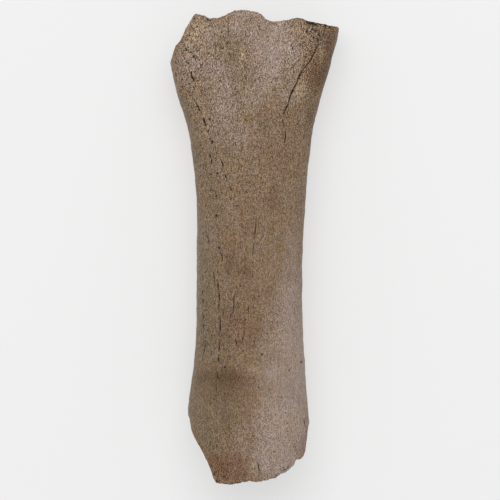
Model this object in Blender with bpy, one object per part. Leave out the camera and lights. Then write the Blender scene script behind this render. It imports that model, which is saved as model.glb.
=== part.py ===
"""Shaft of a fossil mammoth thigh bone, a right femur broken off at both ends.

The bone lies on its back. +X points to its inner (medial) side, +Y to the hip, and +Z, up,
to its front. Sizes are in metres, and a place is (across X, along Y). The wall is a loft
whose sections change along the bone, trimmed by two broken rims. Each broken end is a
dished face of spongy bone inside its rim. Four low swellings on the back carry the bone.
"""

import bpy
import numpy as np

NAME = "femur"
COLLECTION = "mammoth_femur"
BONE_COLOUR = (0.227, 0.162, 0.114, 1.0)
BONE_ROUGHNESS = 0.85

# Edges of the shaft and its front and back lines, each as (along Y, place).
LATERAL_EDGE = (
    (-0.268, -0.0700), (-0.190, -0.0732), (-0.155, -0.0702), (-0.120, -0.0662),
    (-0.040, -0.0640), (0.040, -0.0642), (0.090, -0.0675), (0.130, -0.0740),
    (0.185, -0.0897), (0.210, -0.0945), (0.268, -0.0900),
)
MEDIAL_EDGE = (
    (-0.268, 0.0600), (-0.195, 0.0632), (-0.155, 0.0600), (-0.100, 0.0560),
    (-0.030, 0.0548), (0.040, 0.0572), (0.100, 0.0625), (0.135, 0.0668),
    (0.170, 0.0755), (0.210, 0.0868), (0.242, 0.0950), (0.268, 0.0960),
)
FRONT_LINE = (
    (-0.268, 0.1080), (-0.200, 0.1115), (-0.120, 0.1050), (-0.020, 0.1010),
    (0.080, 0.1005), (0.150, 0.0990), (0.210, 0.0970), (0.268, 0.0920),
)
BACK_LINE = (
    (-0.268, 0.0080), (-0.200, 0.0042), (-0.120, 0.0095), (0.000, 0.0140),
    (0.100, 0.0115), (0.190, 0.0052), (0.268, 0.0085),
)
# How far the front and back rise for each metre across, which twists the shaft.
TWIST = ((-0.268, 0.055), (-0.050, 0.010), (0.080, -0.015), (0.268, -0.050))
# Power of the section's curve: 2 is an ellipse, and more is squarer.
FRONT_FULLNESS = ((-0.268, 2.35), (0.000, 2.25), (0.120, 2.35), (0.210, 2.70))
BACK_FULLNESS = ((-0.268, 3.10), (-0.160, 2.90), (0.000, 2.35), (0.110, 2.55), (0.210, 3.10))

# Broken rims, from the lateral edge to the medial one.
HIP_RIM_FRONT = (
    (-0.0945, 0.2090), (-0.0889, 0.2275), (-0.0832, 0.2343), (-0.0775, 0.2479),
    (-0.0719, 0.2558), (-0.0662, 0.2626), (-0.0549, 0.2615), (-0.0492, 0.2570),
    (-0.0323, 0.2604), (-0.0209, 0.2660), (-0.0125, 0.2672), (0.0017, 0.2660),
    (0.0074, 0.2638), (0.0187, 0.2534), (0.0413, 0.2558), (0.0498, 0.2583),
    (0.0640, 0.2550), (0.0696, 0.2545), (0.0753, 0.2524), (0.0945, 0.2490),
)
HIP_RIM_BACK = (
    (-0.0945, 0.2090), (-0.0780, 0.2310), (-0.0560, 0.2420), (-0.0250, 0.2400),
    (0.0050, 0.2350), (0.0350, 0.2390), (0.0650, 0.2480), (0.0945, 0.2490),
)
KNEE_RIM_FRONT = (
    (-0.0732, -0.1913), (-0.0701, -0.2072), (-0.0594, -0.2309), (-0.0526, -0.2411),
    (-0.0481, -0.2524), (-0.0458, -0.2604), (-0.0425, -0.2665), (-0.0266, -0.2677),
    (-0.0175, -0.2672), (-0.0028, -0.2633), (0.0017, -0.2649), (0.0205, -0.2621),
    (0.0345, -0.2550), (0.0419, -0.2505), (0.0454, -0.2468), (0.0474, -0.2418),
    (0.0538, -0.2395), (0.0572, -0.2309), (0.0592, -0.2196), (0.0632, -0.2004),
)
KNEE_RIM_BACK = (
    (-0.0732, -0.1913), (-0.0640, -0.1990), (-0.0400, -0.2130), (-0.0120, -0.2185),
    (0.0090, -0.2130), (0.0260, -0.2145), (0.0450, -0.2070), (0.0632, -0.2004),
)
RIM_ROUNDS = 8
RIM_WEAR = 0.0025
RIM_CHIPS = 0.0008
# The chips' size, where the bone's girth is a circle of radius 1.
RIM_CHIP_SIZE = 0.09

# Swellings and hollows: (across, along, width, length, height).
FRONT_RELIEF = (
    (-0.078, 0.205, 0.016, 0.034, 0.0030),
    (-0.012, 0.238, 0.013, 0.040, 0.0022),
    (0.020, 0.236, 0.011, 0.026, -0.0040),
    (0.050, 0.245, 0.012, 0.022, 0.0015),
    (0.074, 0.185, 0.012, 0.050, 0.0020),
    (-0.030, -0.060, 0.016, 0.080, -0.0010),
    (0.000, -0.238, 0.026, 0.020, -0.0016),
    (0.046, -0.215, 0.012, 0.030, 0.0016),
)
BACK_RELIEF = (
    (0.052, 0.140, 0.013, 0.022, 0.0050),
    (-0.060, 0.110, 0.010, 0.040, 0.0035),
    (-0.002, 0.222, 0.020, 0.030, -0.0060),
    (0.000, -0.190, 0.020, 0.045, -0.0045),
    (0.004, 0.020, 0.022, 0.060, -0.0012),
)
# The four swellings that carry the bone: (across, along, width, length).
RESTS = (
    (-0.055, 0.186, 0.028, 0.036), (0.050, 0.198, 0.026, 0.036),
    (-0.038, -0.162, 0.022, 0.038), (0.033, -0.168, 0.022, 0.038),
)
REST_WEAR = 0.0013

# Open cracks and slits: (half width, depth, places along the line).
FRONT_CRACKS = (
    (0.0018, 0.0036, (
        (0.0748, 0.2275), (0.0711, 0.2240), (0.0648, 0.2110), (0.0541, 0.1958),
        (0.0498, 0.1850), (0.0468, 0.1797), (0.0413, 0.1692), (0.0405, 0.1620),
        (0.0350, 0.1500), (0.0340, 0.1390), (0.0357, 0.1260),
    )),
    (0.0011, 0.0016, (
        (0.0583, 0.2173), (0.0455, 0.2035), (0.0383, 0.1950), (0.0368, 0.1901),
    )),
    (0.0012, 0.0018, ((-0.0704, 0.1947), (-0.0658, 0.1875))),
    (0.0013, 0.0020, (
        (-0.0635, 0.1585), (-0.0602, 0.1517), (-0.0567, 0.1455), (-0.0577, 0.1404),
    )),
    (0.0012, 0.0018, ((-0.0495, 0.1046), (-0.0472, 0.0996))),
    (0.0012, 0.0020, ((-0.0381, 0.0990), (-0.0351, 0.0917))),
    (0.0012, 0.0020, ((-0.0326, 0.0826), (-0.0295, 0.0736))),
    (0.0014, 0.0028, (
        (-0.0406, -0.0272), (-0.0409, -0.0430), (-0.0388, -0.0548), (-0.0386, -0.0675),
        (-0.0396, -0.0750), (-0.0374, -0.0801), (-0.0381, -0.0985), (-0.0391, -0.1310),
    )),
    (0.0011, 0.0018, ((-0.0523, -0.1019), (-0.0564, -0.1234))),
    (0.0012, 0.0022, (
        (-0.0195, -0.0509), (-0.0232, -0.0611), (-0.0217, -0.0702), (-0.0250, -0.0770),
    )),
    (0.0009, 0.0014, ((0.0033, 0.0332), (0.0027, 0.0266), (0.0014, 0.0113), (0.0001, -0.0007))),
    (0.0010, 0.0018, (
        (-0.0057, -0.0668), (-0.0057, -0.0759), (-0.0101, -0.0838), (-0.0078, -0.0894),
        (-0.0103, -0.0974), (-0.0127, -0.1087),
    )),
    (0.0016, 0.0026, ((0.0395, -0.2478), (0.0350, -0.2536))),
    (0.0012, 0.0022, ((0.0591, -0.1947), (0.0585, -0.2010))),
)
BACK_CRACKS = (
    (0.0014, 0.0026, (
        (0.0180, 0.1500), (0.0205, 0.1120), (0.0170, 0.0650), (0.0190, 0.0300),
    )),
    (0.0012, 0.0022, ((-0.0250, -0.0450), (-0.0230, -0.0950), (-0.0270, -0.1400))),
    (0.0012, 0.0020, ((-0.0350, 0.2050), (-0.0300, 0.1700), (-0.0310, 0.1400))),
    (0.0035, 0.0040, ((0.0060, -0.0150), (0.0065, -0.0220))),
)
# Raised lines on the back for muscles: (half width, height, places along the line).
BACK_RIDGES = (
    (0.0120, 0.0028, ((-0.0200, 0.1450), (-0.0100, 0.0700), (-0.0060, 0.0000), (-0.0080, -0.0700))),
    (0.0130, 0.0013, ((-0.0070, -0.0500), (-0.0200, -0.1000), (-0.0400, -0.1450))),
    (0.0130, 0.0011, ((-0.0070, -0.0500), (0.0130, -0.1050), (0.0340, -0.1500))),
)
# Flake scars at the rims: (across, along, radius, depth).
FRONT_SCARS = (
    (-0.0560, 0.2680, 0.0120, 0.0030),
    (-0.0900, 0.2360, 0.0120, 0.0040),
    (0.0680, 0.2560, 0.0100, 0.0035),
    (0.0900, 0.1936, 0.0050, 0.0015),
    (0.0560, -0.2440, 0.0080, 0.0030),
    (-0.0640, -0.2330, 0.0110, 0.0025),
)
FRONT_PITS = (
    (-0.0742, 0.2230), (-0.0675, 0.2175), (-0.0740, 0.2105), (-0.0797, 0.2050),
    (-0.0704, 0.2415), (-0.0635, 0.1980), (-0.0555, 0.1755), (-0.0480, 0.1300),
    (-0.0507, 0.1300), (-0.0479, 0.0970), (-0.0408, 0.0820), (-0.0510, 0.0057),
    (-0.0386, -0.0010), (-0.0361, -0.0120), (-0.0277, -0.1257), (0.0094, -0.1211),
    (-0.0481, -0.2219), (0.0226, -0.2298), (0.0179, -0.2440), (0.0101, -0.2461),
)
PIT_RADIUS = 0.0021
PIT_DEPTH = 0.0022

# Relief of the front fades to the sides between these sines of the angle, and so does the back's.
SIDE_FADE = (0.02, 0.30)
# The least share of its width that a crack or ridge keeps at its ends.
LINE_END = 0.12
# Noise: (size, height).
LUMPS = ((0.045, 0.0009), (0.018, 0.0005), (0.008, 0.0003))
SPONGE_LUMPS = ((0.016, 0.0017), (0.007, 0.0012))
SPONGE_FALL = 0.0035
# Shares of the way out to the rim between which spongy bone gives way to the dense wall.
WALL_BAND = (0.71, 0.91)
WALL_ROUGHNESS = 0.3
RIM_EASE = 0.06
LATTICE = 24

COLUMNS = 288
WALL_ROWS = 300
# About the length of the wall, for the spacing of its rows, and the rows next to a rim.
WALL_LENGTH = 0.5
RIM_ROWS = (0.0, 0.0007, 0.0016, 0.0027)
FACE_RINGS = (0.97, 0.93, 0.88, 0.82, 0.75, 0.67, 0.58, 0.48, 0.37, 0.25, 0.12)
# The share of the fine surface's triangles that the bone keeps.
KEPT_SHARE = 0.0470
CUTTER_SIZE = 1.0


def curve(points, at):
    """A smooth line through (place, value) points: cubic Hermite with centred slopes."""
    places, values = np.array(points).T
    slopes = np.gradient(values, places)
    low = np.clip(np.searchsorted(places, at) - 1, 0, len(places) - 2)
    step = places[low + 1] - places[low]
    share = np.clip((at - places[low]) / step, 0, 1)
    start = (1 + 2 * share) * (1 - share) ** 2 * values[low]
    start = start + share * (1 - share) ** 2 * step * slopes[low]
    end = share**2 * (3 - 2 * share) * values[low + 1]
    return start + end + share**2 * (share - 1) * step * slopes[low + 1]


def smooth(low, high, value):
    """0 below low and 1 above high, with an eased rise between."""
    share = np.clip((value - low) / (high - low), 0, 1)
    return share * share * (3 - 2 * share)


def noise(points, size, seed):
    """Smooth noise from -1 to 1: values at random on a lattice, eased between its corners."""
    lattice = np.random.default_rng(seed).uniform(-1, 1, (LATTICE,) * 3)
    scaled = points / size
    cell = np.floor(scaled).astype(int)
    share = scaled - cell
    share = share * share * (3 - 2 * share)
    total = 0
    for corner in np.ndindex(2, 2, 2):
        weight = np.prod(np.where(np.array(corner), share, 1 - share), axis=-1)
        index = (cell + corner) % LATTICE
        total = total + weight * lattice[index[..., 0], index[..., 1], index[..., 2]]
    return total


def section(angle, along):
    """The smooth wall at an angle round the bone, from +X by way of +Z, and a place along it."""
    lateral = curve(LATERAL_EDGE, along)
    medial = curve(MEDIAL_EDGE, along)
    front = curve(FRONT_LINE, along)
    back = curve(BACK_LINE, along)
    is_front = np.sin(angle) > 0
    power = np.where(is_front, curve(FRONT_FULLNESS, along), curve(BACK_FULLNESS, along))
    half_width = (medial - lateral) / 2
    half_depth = (front - back) / 2
    across_part = (np.abs(np.cos(angle)) / half_width) ** power
    depth_part = (np.abs(np.sin(angle)) / half_depth) ** power
    radius = (across_part + depth_part) ** (-1 / power)
    x = (medial + lateral) / 2 + radius * np.cos(angle)
    z = (front + back) / 2 + radius * np.sin(angle) + curve(TWIST, along) * x
    return np.stack([x, along + 0 * x, z], axis=-1)


def rim(angle, front_points, back_points, seed):
    """How far along the bone the wall is broken, for each angle."""
    front_x, front_y = np.array(front_points).T
    back_x, back_y = np.array(back_points).T
    along = np.full(angle.shape, front_y[0])
    for _ in range(RIM_ROUNDS):
        x = section(angle, along)[..., 0]
        on_front = np.interp(x, front_x, front_y)
        on_back = np.interp(x, back_x, back_y)
        along = np.where(np.sin(angle) > 0, on_front, on_back)
    ragged = np.stack([np.cos(angle), np.sin(angle), 0 * angle], axis=-1)
    return along + RIM_CHIPS * noise(ragged, RIM_CHIP_SIZE, seed) * np.sign(-along)


def distance_to_line(x, y, places):
    """The least distance to a run of straight stretches, and how far along it, 0 to 1."""
    lengths = [np.hypot(b[0] - a[0], b[1] - a[1]) for a, b in zip(places, places[1:])]
    best = np.full(x.shape, np.inf)
    progress = np.zeros(x.shape)
    passed = 0.0
    for (x0, y0), (x1, y1), length in zip(places, places[1:], lengths):
        share = ((x - x0) * (x1 - x0) + (y - y0) * (y1 - y0)) / length**2
        share = np.clip(share, 0, 1)
        away = np.hypot(x - x0 - share * (x1 - x0), y - y0 - share * (y1 - y0))
        nearer = away < best
        best = np.where(nearer, away, best)
        progress = np.where(nearer, (passed + share * length) / sum(lengths), progress)
        passed += length
    return best, progress


def lines(x, y, rows):
    """Grooves or ridges along lines: a rounded section that fades at both ends of a line."""
    height = np.zeros(x.shape)
    for half_width, tall, places in rows:
        away, progress = distance_to_line(x, y, places)
        fade = np.sqrt(np.clip(4 * progress * (1 - progress), LINE_END, 1))
        rounded = np.clip(1 - (away / half_width / fade) ** 2, 0, 1)
        height = np.maximum(height, tall * fade * rounded)
    return height


def mounds(x, y, rows):
    """Swellings and hollows shaped like a bell."""
    total = np.zeros(x.shape)
    for x0, y0, width, length, height in rows:
        total += height * np.exp(-(((x - x0) / width) ** 2) - ((y - y0) / length) ** 2)
    return total


def bowls(x, y, rows):
    """Round bowls: (across, along, radius, depth)."""
    depth = np.zeros(x.shape)
    for x0, y0, radius, deep in rows:
        away = np.hypot(x - x0, y - y0) / radius
        depth = np.maximum(depth, deep * np.clip(1 - away**2, 0, 1))
    return depth


def lumps(points, rows, seed):
    """Noise of several sizes added up: (size, height)."""
    return sum(tall * noise(points, size, seed + i) for i, (size, tall) in enumerate(rows))


def normals(grid):
    """Outward unit normals of a grid of closed rings that follow each other along the bone."""
    around = np.roll(grid, -1, axis=1) - np.roll(grid, 1, axis=1)
    along = np.gradient(grid, axis=0)
    out = np.cross(along, around)
    return out / np.maximum(np.linalg.norm(out, axis=-1, keepdims=True), 1e-12)


def wall_rows():
    """Shares of the wall's length for its rows, and the rows' inset where the rims are worn."""
    near = np.array(RIM_ROWS)
    middle = np.linspace(near[-1], WALL_LENGTH - near[-1], WALL_ROWS)[1:-1]
    share = np.concatenate([near, middle, WALL_LENGTH - near[::-1]]) / WALL_LENGTH
    from_rim = np.minimum(share, 1 - share) * WALL_LENGTH
    left = np.clip(1 - from_rim / RIM_WEAR, 0, 1)
    return share, RIM_WEAR * (1 - np.sqrt(1 - left**2))


def wall():
    """The outside of the bone from the knee rim to the hip rim, with its relief."""
    angle = np.linspace(0, 2 * np.pi, COLUMNS, endpoint=False)
    knee = rim(angle, KNEE_RIM_FRONT, KNEE_RIM_BACK, seed=3)
    hip = rim(angle, HIP_RIM_FRONT, HIP_RIM_BACK, seed=4)
    share, inset = wall_rows()
    along = knee + (hip - knee) * share[:, None]
    grid = section(angle + 0 * along, along)
    x, y = grid[..., 0], grid[..., 1]
    front = smooth(*SIDE_FADE, np.sin(angle))
    back = smooth(*SIDE_FADE, -np.sin(angle))
    pits = [(x0, y0, PIT_RADIUS, PIT_DEPTH) for x0, y0 in FRONT_PITS]
    relief = front * mounds(x, y, FRONT_RELIEF) + back * mounds(x, y, BACK_RELIEF)
    relief += back * lines(x, y, BACK_RIDGES) + lumps(grid, LUMPS, seed=10)
    relief -= front * (lines(x, y, FRONT_CRACKS) + bowls(x, y, FRONT_SCARS + tuple(pits)))
    relief -= back * lines(x, y, BACK_CRACKS) + inset[:, None]
    grid = grid + normals(grid) * relief[..., None]
    return carry(grid, back)


def carry(grid, back):
    """Swells the back at the four rests until their crowns dip just below the ground."""
    x, y = grid[..., 0], grid[..., 1]
    pull = np.zeros(x.shape)
    for x0, y0, width, length in RESTS:
        pull = np.maximum(pull, np.exp(-(((x - x0) / width) ** 2) - ((y - y0) / length) ** 2))
    grid[..., 2] -= back * pull * (grid[..., 2] + REST_WEAR)
    return grid


def broken_face(edge, seed):
    """Rings from a rim inwards: a rough band of dense wall round a dished spongy middle.

    The rim's waves fade inwards as in a soap film: the finer the wave, the sooner it is gone.
    """
    share = np.array(FACE_RINGS)[:, None, None]
    waves = np.fft.rfft(edge, axis=0)
    fineness = np.arange(len(waves))[:, None]
    rings = np.fft.irfft(waves * share**fineness, n=len(edge), axis=1)
    sunk = 1 - smooth(*WALL_BAND, share[..., 0])
    rough = lumps(rings, SPONGE_LUMPS, seed) * (WALL_ROUGHNESS + (1 - WALL_ROUGHNESS) * sunk)
    eased = smooth(0, RIM_EASE, 1 - share[..., 0])
    outward = np.sign(rings[-1, 0, 1])
    rings[..., 1] += outward * (rough - SPONGE_FALL * sunk) * eased
    return rings


def closed_mesh(name, grid):
    """A closed mesh from rings that follow each other, with a fan at each end."""
    rows, columns = grid.shape[:2]
    poles = [grid[0].mean(axis=0), grid[-1].mean(axis=0)]
    points = np.concatenate([grid.reshape(-1, 3), poles])
    index = np.arange(rows * columns).reshape(rows, columns)
    beside = np.roll(index, -1, axis=1)
    quads = np.stack([index[:-1], index[1:], beside[1:], beside[:-1]], axis=-1).reshape(-1, 4)
    first = np.full(columns, rows * columns)
    knee_fan = np.stack([first, index[0], beside[0]], axis=-1)
    hip_fan = np.stack([first + 1, beside[-1], index[-1]], axis=-1)
    mesh = bpy.data.meshes.new(name)
    mesh.from_pydata(points.tolist(), [], quads.tolist() + knee_fan.tolist() + hip_fan.tolist())
    mesh.validate()
    return mesh


def bone_material():
    """Dull grey-brown fossil bone."""
    material = bpy.data.materials.new("fossil_bone")
    material.use_nodes = True
    shader = material.node_tree.nodes["Principled BSDF"]
    shader.inputs["Base Color"].default_value = BONE_COLOUR
    shader.inputs["Roughness"].default_value = BONE_ROUGHNESS
    shader.inputs["Metallic"].default_value = 0.0
    return material


def ground_cutter(collection):
    """A box whose top is the ground, which wears the four rests flat."""
    bpy.ops.mesh.primitive_cube_add(size=CUTTER_SIZE, location=(0, 0, -CUTTER_SIZE / 2))
    cutter = bpy.context.object
    cutter.name = "ground_cutter"
    for holder in list(cutter.users_collection):
        holder.objects.unlink(cutter)
    collection.objects.link(cutter)
    cutter.hide_render = True
    cutter.display_type = "WIRE"
    return cutter


def new_collection(name):
    """A collection under the scene's own."""
    collection = bpy.data.collections.new(name)
    bpy.context.scene.collection.children.link(collection)
    return collection


def centre_on_origin(bone):
    """Moves the bone sideways until the middle of its box stands over the origin."""
    bpy.context.view_layer.update()
    shaped = bone.evaluated_get(bpy.context.evaluated_depsgraph_get())
    corners = np.array(shaped.bound_box)
    middle = (corners.min(axis=0) + corners.max(axis=0)) / 2
    bone.location = (-middle[0], -middle[1], 0)


def femur():
    """The bone: its fine surface, thinned to the facets that its shape needs, worn flat below."""
    outside = wall()
    knee_face = broken_face(outside[0], seed=30)[::-1]
    hip_face = broken_face(outside[-1], seed=40)
    surface = np.concatenate([knee_face, outside, hip_face])
    bone = bpy.data.objects.new(NAME, closed_mesh(NAME, surface))
    new_collection(COLLECTION).objects.link(bone)
    bone.data.materials.append(bone_material())
    thin = bone.modifiers.new("facets", "DECIMATE")
    thin.ratio = KEPT_SHARE
    worn = bone.modifiers.new("worn rests", "BOOLEAN")
    worn.operation = "DIFFERENCE"
    worn.solver = "EXACT"
    worn.object = ground_cutter(new_collection("cutters"))
    centre_on_origin(bone)


def main():
    for old in list(bpy.data.objects):
        bpy.data.objects.remove(old, do_unlink=True)
    femur()


main()
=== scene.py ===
"""Fossil mammoth femur, a length of a right thigh bone, lying on its back on a pale floor.

An add-on's layout, run as a script. +X points to the bone's inner (medial) side, +Y to the
hip and +Z, up, to its front. Sizes are in metres, and a place is (across X, along Y).
"""

import bpy
import numpy as np
from bpy.props import FloatProperty, FloatVectorProperty, IntProperty, PointerProperty
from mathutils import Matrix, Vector


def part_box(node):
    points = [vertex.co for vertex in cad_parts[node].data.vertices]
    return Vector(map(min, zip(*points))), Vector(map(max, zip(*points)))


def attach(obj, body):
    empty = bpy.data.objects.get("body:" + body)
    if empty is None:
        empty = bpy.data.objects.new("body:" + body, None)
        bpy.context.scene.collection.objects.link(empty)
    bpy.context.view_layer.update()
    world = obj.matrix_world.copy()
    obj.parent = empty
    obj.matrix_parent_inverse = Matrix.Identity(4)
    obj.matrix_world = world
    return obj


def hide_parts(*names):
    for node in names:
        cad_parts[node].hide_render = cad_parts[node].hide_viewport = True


bl_info = {
    "name": "Fossil mammoth femur",
    "version": (1, 0, 0),
    "blender": (4, 5, 0),
    "location": "3D View > Sidebar > Fossil",
    "description": "Builds a broken fossil thigh bone with a porous, cracked and stained surface",
    "category": "Add Mesh",
}

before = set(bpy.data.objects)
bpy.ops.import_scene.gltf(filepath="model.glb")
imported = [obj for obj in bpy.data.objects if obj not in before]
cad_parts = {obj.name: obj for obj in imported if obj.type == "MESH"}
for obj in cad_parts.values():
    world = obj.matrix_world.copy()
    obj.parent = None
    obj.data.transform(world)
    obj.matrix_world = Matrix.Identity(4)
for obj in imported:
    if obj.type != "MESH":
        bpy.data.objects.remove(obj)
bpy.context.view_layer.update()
NODE = "femur"
PIECE = "femur_bone"

# The shaft's edges and its front and back lines, each as (along Y, place).
LATERAL_EDGE = (
    (-0.268, -0.0700), (-0.190, -0.0732), (-0.155, -0.0702), (-0.120, -0.0662),
    (-0.040, -0.0640), (0.040, -0.0642), (0.090, -0.0675), (0.130, -0.0740),
    (0.185, -0.0897), (0.210, -0.0945), (0.268, -0.0900),
)
MEDIAL_EDGE = (
    (-0.268, 0.0600), (-0.195, 0.0632), (-0.155, 0.0600), (-0.100, 0.0560),
    (-0.030, 0.0556), (0.040, 0.0582), (0.100, 0.0633), (0.135, 0.0680),
    (0.170, 0.0768), (0.210, 0.0892), (0.242, 0.0966), (0.268, 0.0975),
)
FRONT_LINE = (
    (-0.268, 0.1080), (-0.200, 0.1115), (-0.120, 0.1050), (-0.020, 0.1010),
    (0.080, 0.1005), (0.150, 0.0990), (0.210, 0.0970), (0.268, 0.0920),
)
BACK_LINE = (
    (-0.268, 0.0080), (-0.200, 0.0042), (-0.120, 0.0095), (0.000, 0.0140),
    (0.100, 0.0115), (0.190, 0.0052), (0.268, 0.0085),
)
# How far the front and back rise for each metre across, which twists the shaft.
TWIST = ((-0.268, 0.055), (-0.050, 0.010), (0.080, -0.015), (0.268, -0.050))
# Power of the section's curve: 2 is an ellipse, and more is squarer.
FRONT_FULLNESS = ((-0.268, 2.35), (0.000, 2.25), (0.120, 2.35), (0.210, 2.70))
BACK_FULLNESS = ((-0.268, 3.10), (-0.160, 2.90), (0.000, 2.35), (0.110, 2.55), (0.210, 3.10))

# Broken rims, from the lateral edge to the medial one.
HIP_RIM_FRONT = (
    (-0.0945, 0.2090), (-0.0889, 0.2275), (-0.0832, 0.2343), (-0.0775, 0.2479),
    (-0.0719, 0.2558), (-0.0662, 0.2626), (-0.0549, 0.2615), (-0.0492, 0.2570),
    (-0.0323, 0.2604), (-0.0209, 0.2660), (-0.0125, 0.2672), (0.0017, 0.2660),
    (0.0074, 0.2638), (0.0187, 0.2534), (0.0413, 0.2558), (0.0498, 0.2583),
    (0.0640, 0.2550), (0.0696, 0.2545), (0.0753, 0.2524), (0.0945, 0.2490),
)
HIP_RIM_BACK = (
    (-0.0945, 0.2090), (-0.0780, 0.2310), (-0.0560, 0.2420), (-0.0250, 0.2400),
    (0.0050, 0.2350), (0.0350, 0.2390), (0.0650, 0.2480), (0.0945, 0.2490),
)
KNEE_RIM_FRONT = (
    (-0.0732, -0.1913), (-0.0701, -0.2072), (-0.0594, -0.2309), (-0.0526, -0.2411),
    (-0.0481, -0.2524), (-0.0458, -0.2604), (-0.0425, -0.2665), (-0.0266, -0.2677),
    (-0.0175, -0.2672), (-0.0028, -0.2633), (0.0017, -0.2649), (0.0205, -0.2621),
    (0.0345, -0.2550), (0.0419, -0.2505), (0.0458, -0.2462), (0.0472, -0.2402),
    (0.0546, -0.2400), (0.0578, -0.2316), (0.0592, -0.2196), (0.0632, -0.2004),
)
KNEE_RIM_BACK = (
    (-0.0732, -0.1913), (-0.0640, -0.1990), (-0.0400, -0.2130), (-0.0120, -0.2185),
    (0.0090, -0.2130), (0.0260, -0.2145), (0.0450, -0.2070), (0.0632, -0.2004),
)
# Rounds in which the place of a rim is found.
RIM_ROUNDS = 8
# Ragged edges of the rims, where the girth is a circle of radius 1: (size, height).
RIM_CHIPS = ((0.09, 0.0008), (0.032, 0.0006))

# Swellings and hollows: (across, along, width, length, height).
FRONT_RELIEF = (
    (-0.078, 0.205, 0.016, 0.034, 0.0030),
    (-0.012, 0.238, 0.013, 0.040, 0.0022),
    (0.020, 0.236, 0.011, 0.026, -0.0040),
    (0.050, 0.245, 0.012, 0.022, 0.0015),
    (0.074, 0.185, 0.012, 0.050, 0.0020),
    (-0.030, -0.060, 0.016, 0.080, -0.0010),
    (0.000, -0.238, 0.026, 0.020, -0.0016),
    (0.046, -0.215, 0.012, 0.030, 0.0016),
)
BACK_RELIEF = (
    (0.052, 0.140, 0.013, 0.022, 0.0050),
    (-0.060, 0.110, 0.010, 0.040, 0.0035),
    (-0.002, 0.222, 0.020, 0.030, -0.0060),
    (0.000, -0.190, 0.020, 0.045, -0.0045),
    (0.004, 0.020, 0.022, 0.060, -0.0012),
)
# The four swellings that carry the bone: (across, along, width, length).
RESTS = (
    (-0.055, 0.186, 0.028, 0.036), (0.050, 0.198, 0.026, 0.036),
    (-0.038, -0.162, 0.022, 0.038), (0.033, -0.168, 0.022, 0.038),
)
# How far their crowns would pass the ground, which is worn off flat.
REST_WEAR = 0.0013

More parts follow.
